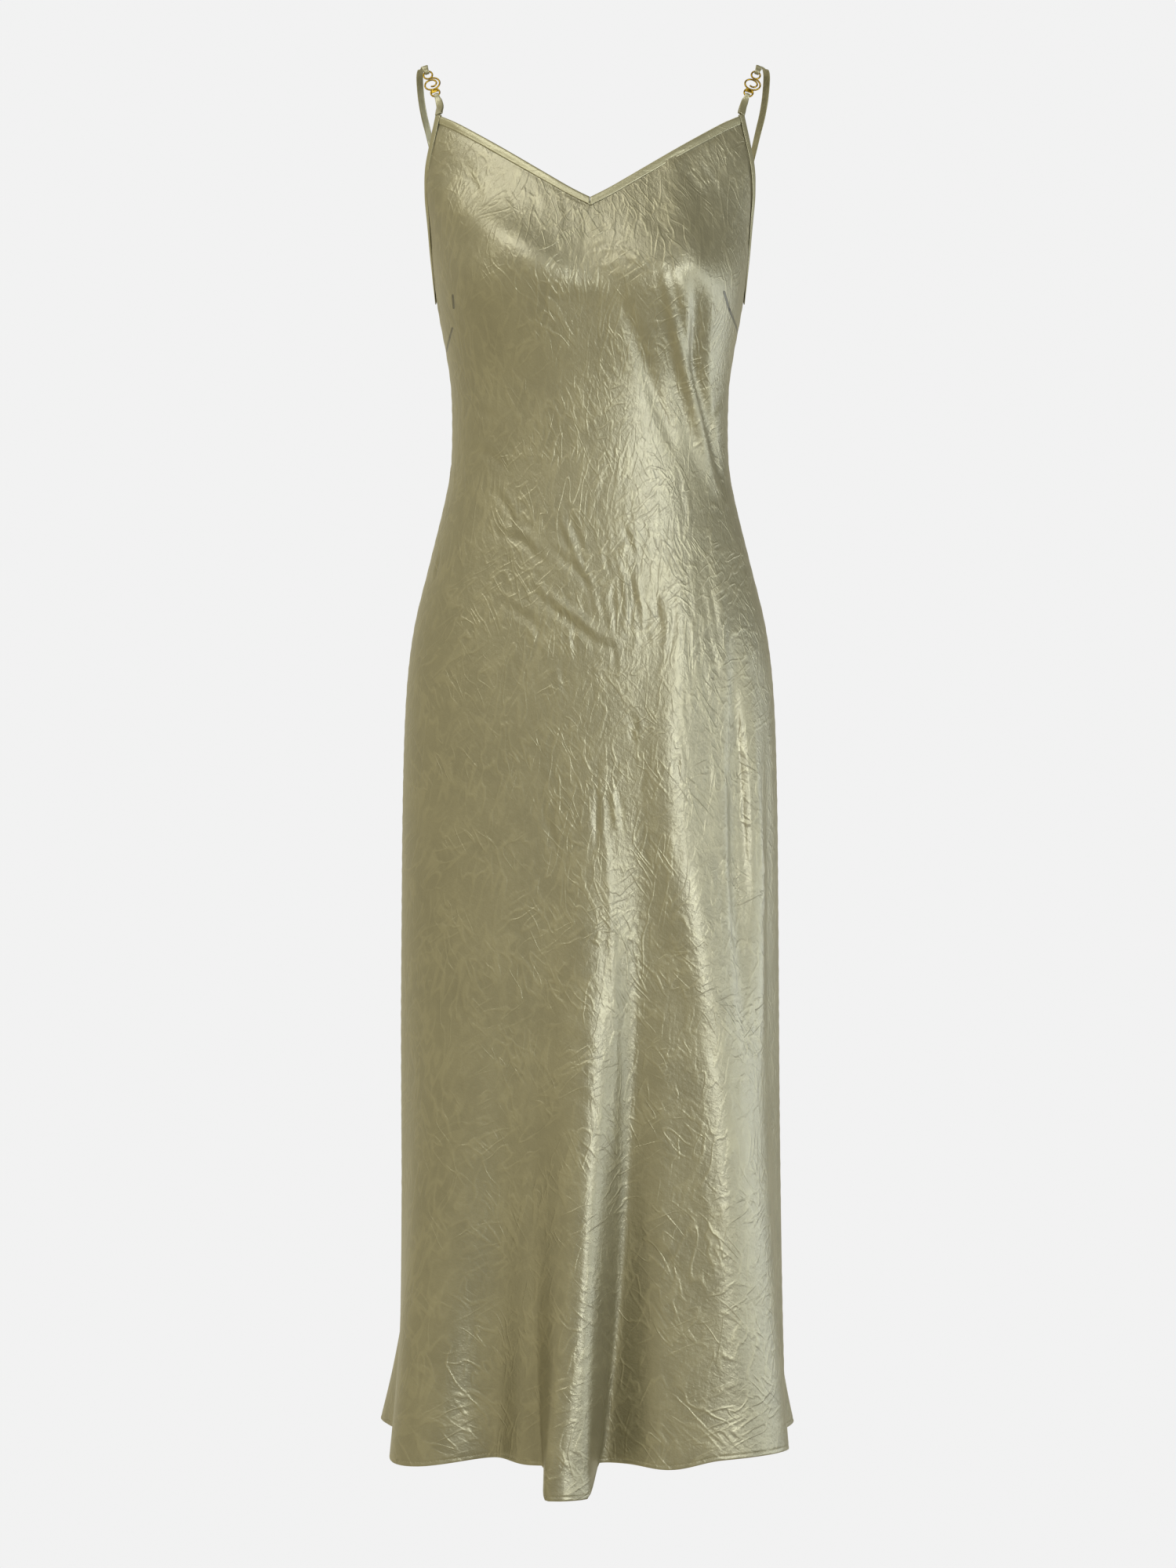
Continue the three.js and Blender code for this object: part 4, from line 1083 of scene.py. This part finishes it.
def stitches(name, lines, long, thread, pitch):
    """Rows of stitches along lines of points and outward normals: at even steps a short swollen
    spindle of five rings of six points, pointed at both ends."""
    t = np.linspace(-1, 1, 5)
    swell = np.sqrt(np.maximum(1 - (0.96 * t) ** 2, 0.02))
    round_ = np.arange(6) * np.pi / 3
    template = np.stack(np.broadcast_arrays(
        t[:, None] * long / 2, np.cos(round_) * swell[:, None] * thread / 2,
        np.sin(round_) * swell[:, None] * thread / 2), -1).reshape(-1, 3)
    points, groups, count = [], [[], [], []], 0
    base = tube_faces(5, 6)
    for line, normal in lines:
        walk = walked(line)
        at = np.arange(pitch / 2, walk[-1] - pitch / 2, pitch)
        place = np.stack([np.interp(at, walk, line[:, i]) for i in range(3)], -1)
        ahead = np.stack([np.interp(at + 0.5, walk, line[:, i]) for i in range(3)], -1)
        out = unit(np.stack([np.interp(at, walk, normal[:, i]) for i in range(3)], -1))
        along = unit(ahead - place)
        beside = unit(np.cross(out, along))
        axes = np.stack([along, beside, out], 1)
        points.append((place[:, None, :] + np.einsum("kj,njc->nkc", template, axes)).reshape(-1, 3))
        offset = (count + np.arange(len(at)) * len(template))[:, None, None]
        for group, faces in zip(groups, base):
            group.append((faces[None] + offset).reshape(-1, faces.shape[1]))
        count += len(at) * len(template)
    faces = [np.concatenate(group) for group in groups]
    piece(name, np.concatenate(points), faces, finish_for("thread"))


def flat_tube(name, stations, nodes, wave=0.0):
    """A turned tube pressed flat, carried along a smooth curve through stations of a point, the
    way across and a width. Its section is a flattened superellipse with a shallow channel, and
    wave is the height of slight ripples in it."""
    stations = np.array([np.concatenate([p, a, [w]]) for p, a, w in stations])
    fine = smooth_line(stations, np.linspace(0, 1, (len(stations) - 1) * 8 + 1))
    point, across, wide = fine[:, :3], unit(fine[:, 3:6]), fine[:, 6]
    along = unit(np.gradient(point, axis=0))
    out = unit(np.cross(across, along))
    across = unit(np.cross(along, out))
    walk = walked(point)
    sides = 20
    turn = np.arange(sides) * 2 * np.pi / sides
    cosine, sine = np.cos(turn), np.sin(turn)
    a = np.sign(cosine) * np.abs(cosine) ** 0.8 / 2
    b = np.sign(sine) * np.abs(sine) ** 0.75 / 2
    b = b * (1 - 0.22 * bell(a, 0.12))
    ripple = wave * np.sin(walk[:, None] / 6.5 + 5 * a[None, :]) * np.sin(walk[:, None] / 19)
    points = (point[:, None] + across[:, None] * (wide[:, None] * a)[..., None]
              + out[:, None] * (STRAP_THICK * b[None, :] + ripple)[..., None])
    uv = np.stack(np.broadcast_arrays(a[None, :] * 2 * wide.mean() * MM, walk[:, None] * MM), -1)
    faces = tube_faces(len(points), sides)
    piece(name, points, faces, finish_for("strip"), uv, nodes)


def link_frame(side):
    """The link's own axes: up along the strap, across it and the way it faces, and its middle."""
    flip = np.array([side, 1, 1])
    up = unit(LINK_UP * flip)
    across = unit(np.cross(up, LINK_FACE * flip))
    face = unit(np.cross(across, up))
    return up, across, face, LINK_CENTRE * flip + np.array([LINK_LEAN, 0, 0])


def spiral_radius(turns):
    """The wire's distance from the link's middle, less by a cubic of the turns made."""
    return 6.6 - 1.3 * turns - 0.62 * turns**3


EYE_UP = spiral_radius(0) + EYE_RADIUS
EYE_DOWN = spiral_radius(0.5) + EYE_RADIUS


def round_wire(line, radius, closed=False, sides=14):
    """A round wire along a flat line in the link's plane: rings square to it, with rounded ends
    where it is open. Gives its points and faces."""
    n = len(line)
    if closed:
        along = unit(np.roll(line, -1, 0) - np.roll(line, 1, 0))
        swell = np.ones(n)
    else:
        along = unit(np.gradient(line, axis=0))
        walk = walked(line)
        end = np.minimum(walk, walk[-1] - walk)
        swell = np.sqrt(np.clip(1 - (1 - np.minimum(end / radius, 1)) ** 2, 0.02, 1))
    face = np.array([0.0, 0.0, 1.0])
    side = np.cross(along, face)
    turn = np.arange(sides) * 2 * np.pi / sides
    ring = side[:, None] * np.cos(turn)[None, :, None] + face * np.sin(turn)[None, :, None]
    points = line[:, None] + ring * (radius * swell)[:, None, None]
    faces = [grid_faces(n, sides, True, True)] if closed else tube_faces(n, sides)
    return points.reshape(-1, 3), faces


def eye_plate():
    """The plate in the upper half of the lower eye: a closed tube of half discs, thick in the
    middle and thin at its rim, like a coin."""
    turn = np.radians(np.arange(0, 181, 12))
    rim = np.stack([np.cos(turn), np.sin(turn)], -1) * (EYE_RADIUS - 0.2)
    middle = np.array([0.0, 0.36 * EYE_RADIUS])
    rings = []
    # Share of the way from the middle to the rim, and height off the link's plane.
    profile = [(0.02, 0.62), (0.35, 0.58), (0.7, 0.46), (1, 0.3), (1, -0.3), (0.5, -0.4), (0.02, -0.4)]
    for share, out in profile:
        x, y = (middle + (rim - middle) * share).T
        rings.append(np.column_stack([x, y + 0.4 - EYE_DOWN, np.full(len(x), out)]))
    return np.array(rings).reshape(-1, 3), tube_faces(len(rings), len(turn))


def make_link(name, side, node):
    """A link: an oval spiral of wire, a round eye above and below it, and a small domed plate in
    the upper half of the lower eye."""
    t = np.linspace(0, 1, 170)
    t = np.concatenate([[0, 0.0015, 0.004], t[1:-1], [0.997, 0.999, 1]])
    turns = SPIRAL_TURNS * t
    angle, radius = np.pi / 2 - 2 * np.pi * turns, spiral_radius(turns)
    spiral = np.stack([SPIRAL_OVAL * radius * np.cos(angle), radius * np.sin(angle), 0 * t], -1)
    parts = [round_wire(spiral, WIRE / 2)]
    turn = np.arange(56) * 2 * np.pi / 56
    for height in (EYE_UP, -EYE_DOWN):
        eye = np.stack([EYE_RADIUS * np.cos(turn), EYE_RADIUS * np.sin(turn) + height, 0 * turn], -1)
        parts.append(round_wire(eye, WIRE / 2, True))
    parts.append(eye_plate())
    up, across, face, centre = link_frame(side)
    points, faces, count = [], {}, 0
    for part, groups in parts:
        if signed_volume(part - part.mean(0), groups) < 0:
            groups = [g[:, ::-1] for g in groups]
        points.append(part)
        for g in groups:
            faces.setdefault(g.shape[1], []).append(g + count)
        count += len(part)
    points = np.concatenate(points)
    placed = centre + points[:, :1] * across + points[:, 1:2] * up + points[:, 2:] * face
    faces = [np.concatenate(group) for group in faces.values()]
    piece(name, placed, faces, finish_for("gold"), nodes=[node])


def loop_stations(side, way, depth):
    """A strap's loop round the far wire of an eye: in along one side, a half circle round the
    wire and back along the other."""
    up, across, face, centre = link_frame(side)
    wire = centre + up * (EYE_UP + EYE_RADIUS if way > 0 else -EYE_DOWN - EYE_RADIUS)
    around = WIRE / 2 + 2 * SEAM_GAP + STRAP_THICK / 2
    flat = STRAP_THICK / 2 + SEAM_GAP

    def place(along, out, wide):
        return wire + up * way * (along - 0.25) + face * out, across, wide

    turn = [place(-around * np.sin(a), around * np.cos(a), LOOP_WIDE) for a in np.pi * np.arange(7) / 6]
    near = [(depth, flat, STRAP_WIDE), (0.45 * depth, 1.2 * flat, 0.8 * STRAP_WIDE)]
    outside = [place(*s) for s in near]
    inside = [place(s[0], -s[1], s[2]) for s in near][::-1]
    return outside, turn, inside


def strap_foot(panel, column):
    """Where a strap is sewn to the end of the armhole binding: the middle of that end, the way out
    of the cloth and the way across the strap."""
    side = np.sign(column)
    angle, z = edge_at(panel, column)
    outside, into = facing(angle, z), inward(panel, column, side)
    upward = np.cross(into, outside) * side
    across = into * (1 if into[0] > 0 else -1)
    middle = cloth(angle, z) + into * BINDING_WIDE / 2 + upward * 2 * SEAM_GAP - outside * 0.5
    return middle, outside, across


def front_strap_stations(side):
    """Up from the binding, through the lower eye and back down, in two layers. They leave it
    straight for the link, and bend by a cubic to the way that the link hangs."""
    middle, outside, across = strap_foot(FRONT, side * FRONT.neck_columns)
    up, _, face, _ = link_frame(side)
    loop_out, turn, loop_in = loop_stations(side, -1, 7)
    layer = STRAP_THICK / 2 + SEAM_GAP
    end = loop_out[0][0] - face * layer
    long = np.linalg.norm(end - middle)

    def bend(t, out):
        line = (middle * (2 * t**3 - 3 * t**2 + 1) + (end - middle) * (t**3 - 2 * t**2 + t)
                + end * (3 * t**2 - 2 * t**3) + up * long * (t**3 - t**2))
        way = unit(across * (1 - t) + loop_out[0][1] * t)
        return line + unit(outside * (1 - t) + face * t) * out, way, STRAP_WIDE

    rise = [bend(t, layer) for t in (0, 0.3, 0.65)]
    fall = [bend(t, -layer) for t in (0.65, 0.3, 0)]
    return [*rise, *loop_out, *turn, *loop_in, *fall]


def back_strap_stations(side):
    """A loop round the upper eye, over the shoulder and down to the back binding's end."""
    middle, _, foot_across = strap_foot(BACK, -side * BACK.neck_columns)
    across = link_frame(side)[1]
    loop_out, turn, loop_in = loop_stations(side, 1, 6)
    line = []
    for i, (x, y, z) in enumerate(BACK_STRAP):
        share = (i + 1) / (len(BACK_STRAP) + 1)
        way = unit(across * (1 - share) + foot_across * share)
        line.append((np.array([side * x + LEAN, y, z]), way, STRAP_WIDE))
    return [*loop_in[::-1], *turn[::-1], *loop_out[::-1], *line, (middle, foot_across, STRAP_WIDE)]


def hem_rows(sizes):
    """The line of the hem's stitches all round, on the cloth's outside."""
    rows = []
    for panel in (FRONT, BACK):
        columns = np.linspace(-panel.columns, panel.columns, 900) * 0.995
        angle = column_angle(panel, columns, np.ones(len(columns)))
        z = hem_height(angle) + sizes.hem_stitch / MM
        normal = facing(angle, z)
        line = cloth(angle, z) - normal * 0.22 + np.array([0, panel.shift, 0])
        rows.append((line, normal))
    return rows


# Studio


def soft_light(name, place, aim, size, power, colour):
    """A large soft box at a place, turned so that it shines at a point."""
    data = bpy.data.lights.new(name, "AREA")
    data.shape, data.size, data.size_y = "RECTANGLE", size[0], size[1]
    data.energy, data.color = power, colour
    made = bpy.data.objects.new(name, data)
    bpy.context.scene.collection.objects.link(made)
    made.location = place
    made.rotation_euler = (Vector(aim) - Vector(place)).to_track_quat("-Z", "Y").to_euler()
    made.visible_camera = False


def air_nodes(world, ambient):
    """Warm light from all round, weaker from the upper right, by the cosine to that way."""
    tree = world.node_tree
    way = tree.nodes.new("ShaderNodeTexCoord").outputs["Generated"]
    dot = tree.nodes.new("ShaderNodeVectorMath")
    dot.operation = "DOT_PRODUCT"
    dot.inputs[1].default_value = (0.91, -0.12, 0.39)
    fade = tree.nodes.new("ShaderNodeMapRange")
    fade.interpolation_type = "SMOOTHSTEP"
    limits = {"From Min": -0.3, "From Max": 0.85, "To Min": ambient, "To Max": 0.3 * ambient}
    for key, value in limits.items():
        fade.inputs[key].default_value = value
    back = tree.nodes["Background"]
    back.inputs["Color"].default_value = (1.0, 0.94, 0.7, 1)
    tree.links.new(way, dot.inputs[0])
    tree.links.new(dot.outputs["Value"], fade.inputs["Value"])
    tree.links.new(fade.outputs["Result"], back.inputs["Strength"])


# The soft lights: name of the power setting, place, aim, size in metres, and colour.
LIGHTS = (
    ("key", (3.3, 0.1, -0.85), (0, 0, -0.75), (4.6, 1.1), (0.9, 1.0, 1.13)),
    ("front", (1.92, -2.65, 0.05), (0, 0, -0.4), (1.2, 1.5), (0.92, 1.0, 1.12)),
    ("top", (-1.3, -1.9, 2.0), (0, -0.05, -0.2), (3.0, 1.2), (0.95, 1.0, 1.07)),
    ("rear", (-0.7, 2.4, 2.2), (0, 0, -0.5), (2.0, 1.4), (0.96, 1.0, 1.02)),
)
FLOOR_Z = -1.42
# The camera looks level at the dress's middle from 3.7 m, with a lens and a sensor in millimetres.
CAMERA_PLACE = (-0.0018, -3.7, -0.657)
LENS = 123.33
SENSOR_WIDE = 36


def make_room(pale):
    """A round room in metres, shown to the camera only: a profile turned round the upright, with a
    level floor, a quarter circle of 2 m, an upright wall and a level ceiling."""
    turn = np.radians(np.arange(0, 91, 6))
    out = np.concatenate([[0.0001, 3, 6], 7 + 2 * np.sin(turn), [9, 9, 7, 0.0001]])
    up = np.concatenate([[0, 0, 0], 2 - 2 * np.cos(turn), [5, 9, 10, 10]]) + FLOOR_Z
    round_ = np.radians(np.arange(0, 360, 4))
    points = np.stack(np.broadcast_arrays(
        out[:, None] * np.cos(round_), out[:, None] * np.sin(round_), up[:, None]), -1)
    faces = grid_faces(*points.shape[:2], round_columns=True)
    mesh = bpy.data.meshes.new("room")
    mesh.from_pydata(points.reshape(-1, 3).tolist(), [], faces.tolist())
    mesh.shade_smooth()
    mesh.materials.append(room_paint("room_paint", pale))
    room = bpy.data.objects.new("room", mesh)
    bpy.context.scene.collection.objects.link(room)
    for flag in ("visible_diffuse", "visible_glossy", "visible_transmission", "visible_shadow"):
        setattr(room, flag, False)


def make_camera(scene):
    """The scene's camera, level and square to the dress's front."""
    data = bpy.data.cameras.new("camera")
    data.sensor_fit, data.sensor_width, data.lens = "HORIZONTAL", SENSOR_WIDE, LENS
    camera = bpy.data.objects.new("camera", data)
    scene.collection.objects.link(camera)
    camera.location = CAMERA_PLACE
    camera.rotation_euler = (np.pi / 2, 0, 0)
    scene.camera = camera


# Operators


class SLIP_OT_panels(bpy.types.Operator):
    """Make the front and the back, from the bindings to the turned hem"""

    bl_idname = "slip_dress.panels"
    bl_label = "Front and back"

    def execute(self, context):
        make_panel("front_cloth", FRONT, FRONT_CREASES, FRONT_CRUMPLES, "front_panel")
        make_panel("back_cloth", BACK, BACK_CREASES, BACK_CRUMPLES, "back_panel")
        return {"FINISHED"}


class SLIP_OT_trim(bpy.types.Operator):
    """Make the bound neck and armholes, and the rows of stitches on them and on the hem"""

    bl_idname = "slip_dress.trim"
    bl_label = "Bindings and stitches"

    def execute(self, context):
        sizes = context.scene.dress_sizes
        rows = []
        for word, side in SIDES:
            rings = [ring_frame(FRONT, 0), *neck_rings(FRONT, side)]
            rows.append(binding(
                f"neck_binding_front_{word}", rings, 7, [f"front_neck_binding_{word}"],
                lift_first=0.35 if side < 0 else 0.0, cut_x=side * SEAM_GAP / 2))
            rows.append(binding(
                f"armhole_strip_{word}", armhole_rings(side), 9, [f"armhole_binding_{word}"]))
        rings = [neck_end_frame(BACK, -1)]
        rings += [ring_frame(BACK, c) for c in range(1 - BACK.neck_columns, BACK.neck_columns)]
        rings += [neck_end_frame(BACK, 1)]
        rows.append(binding("neck_binding_back", rings, 8, ["back_neck_binding"]))
        args = (sizes.stitch_long / MM, sizes.thread / MM, sizes.stitch_pitch / MM)
        stitches("binding_stitches", rows, *args)
        stitches("hem_stitches", hem_rows(sizes), *args)
        return {"FINISHED"}


class SLIP_OT_straps(bpy.types.Operator):
    """Make the two short front straps and the two long back straps"""

    bl_idname = "slip_dress.straps"
    bl_label = "Straps"

    def execute(self, context):
        for word, side in SIDES:
            flat_tube(f"strap_front_{word}", front_strap_stations(side), [f"front_strap_{word}"])
            flat_tube(f"strap_back_{word}", back_strap_stations(side), [f"back_strap_{word}"], 0.05)
        return {"FINISHED"}


class SLIP_OT_links(bpy.types.Operator):
    """Make the wire scroll links between the straps"""

    bl_idname = "slip_dress.links"
    bl_label = "Links"

    def execute(self, context):
        for word, side in SIDES:
            make_link(f"wire_link_{word}", side, f"scroll_link_{word}")
        return {"FINISHED"}


class SLIP_OT_declare(bpy.types.Operator):
    """An empty step that does nothing"""

    bl_idname = "slip_dress.declare"
    bl_label = "Cut sizes"

    def execute(self, context):
        return {"FINISHED"}


class SLIP_OT_stage(bpy.types.Operator):
    """Make the pale room, the soft lights and the camera"""

    bl_idname = "slip_dress.stage"
    bl_label = "Studio"

    def execute(self, context):
        studio = context.scene.studio
        make_room(studio.pale)
        world = bpy.data.worlds.new("studio_air")
        world.use_nodes = True
        air_nodes(world, studio.ambient)
        context.scene.world = world
        for name, place, aim, size, colour in LIGHTS:
            soft_light(name, place, aim, size, getattr(studio, name), colour)
        make_camera(context.scene)
        context.scene.view_settings.view_transform = "Standard"
        return {"FINISHED"}


class SLIP_PT_panel(bpy.types.Panel):
    """The dress's sizes, colours and pieces"""

    bl_idname = "SLIP_PT_panel"
    bl_label = "Slip dress"
    bl_space_type = "VIEW_3D"
    bl_region_type = "UI"
    bl_category = "Slip dress"

    def draw(self, context):
        for group in (context.scene.dress_sizes, context.scene.dress_colours, context.scene.studio):
            box = self.layout.box()
            for key in group.__annotations__:
                box.prop(group, key)
        for operator in OPERATORS:
            self.layout.operator(operator.bl_idname)


OPERATORS = [
    SLIP_OT_panels, SLIP_OT_trim, SLIP_OT_straps, SLIP_OT_links, SLIP_OT_declare, SLIP_OT_stage,
]
GROUPS = {"dress_sizes": DressSizes, "dress_colours": DressColours, "studio": StudioSettings}


def register():
    for cls in [*GROUPS.values(), *OPERATORS, SLIP_PT_panel]:
        bpy.utils.register_class(cls)
    for key, cls in GROUPS.items():
        setattr(bpy.types.Scene, key, bpy.props.PointerProperty(type=cls))


def unregister():
    for key in GROUPS:
        delattr(bpy.types.Scene, key)
    for cls in [SLIP_PT_panel, *OPERATORS[::-1], *GROUPS.values()]:
        bpy.utils.unregister_class(cls)


def main():
    register()
    bpy.ops.slip_dress.panels()
    bpy.ops.slip_dress.trim()
    bpy.ops.slip_dress.straps()
    bpy.ops.slip_dress.links()
    bpy.ops.slip_dress.declare()
    bpy.ops.slip_dress.stage()


if __name__ == "__main__":
    main()
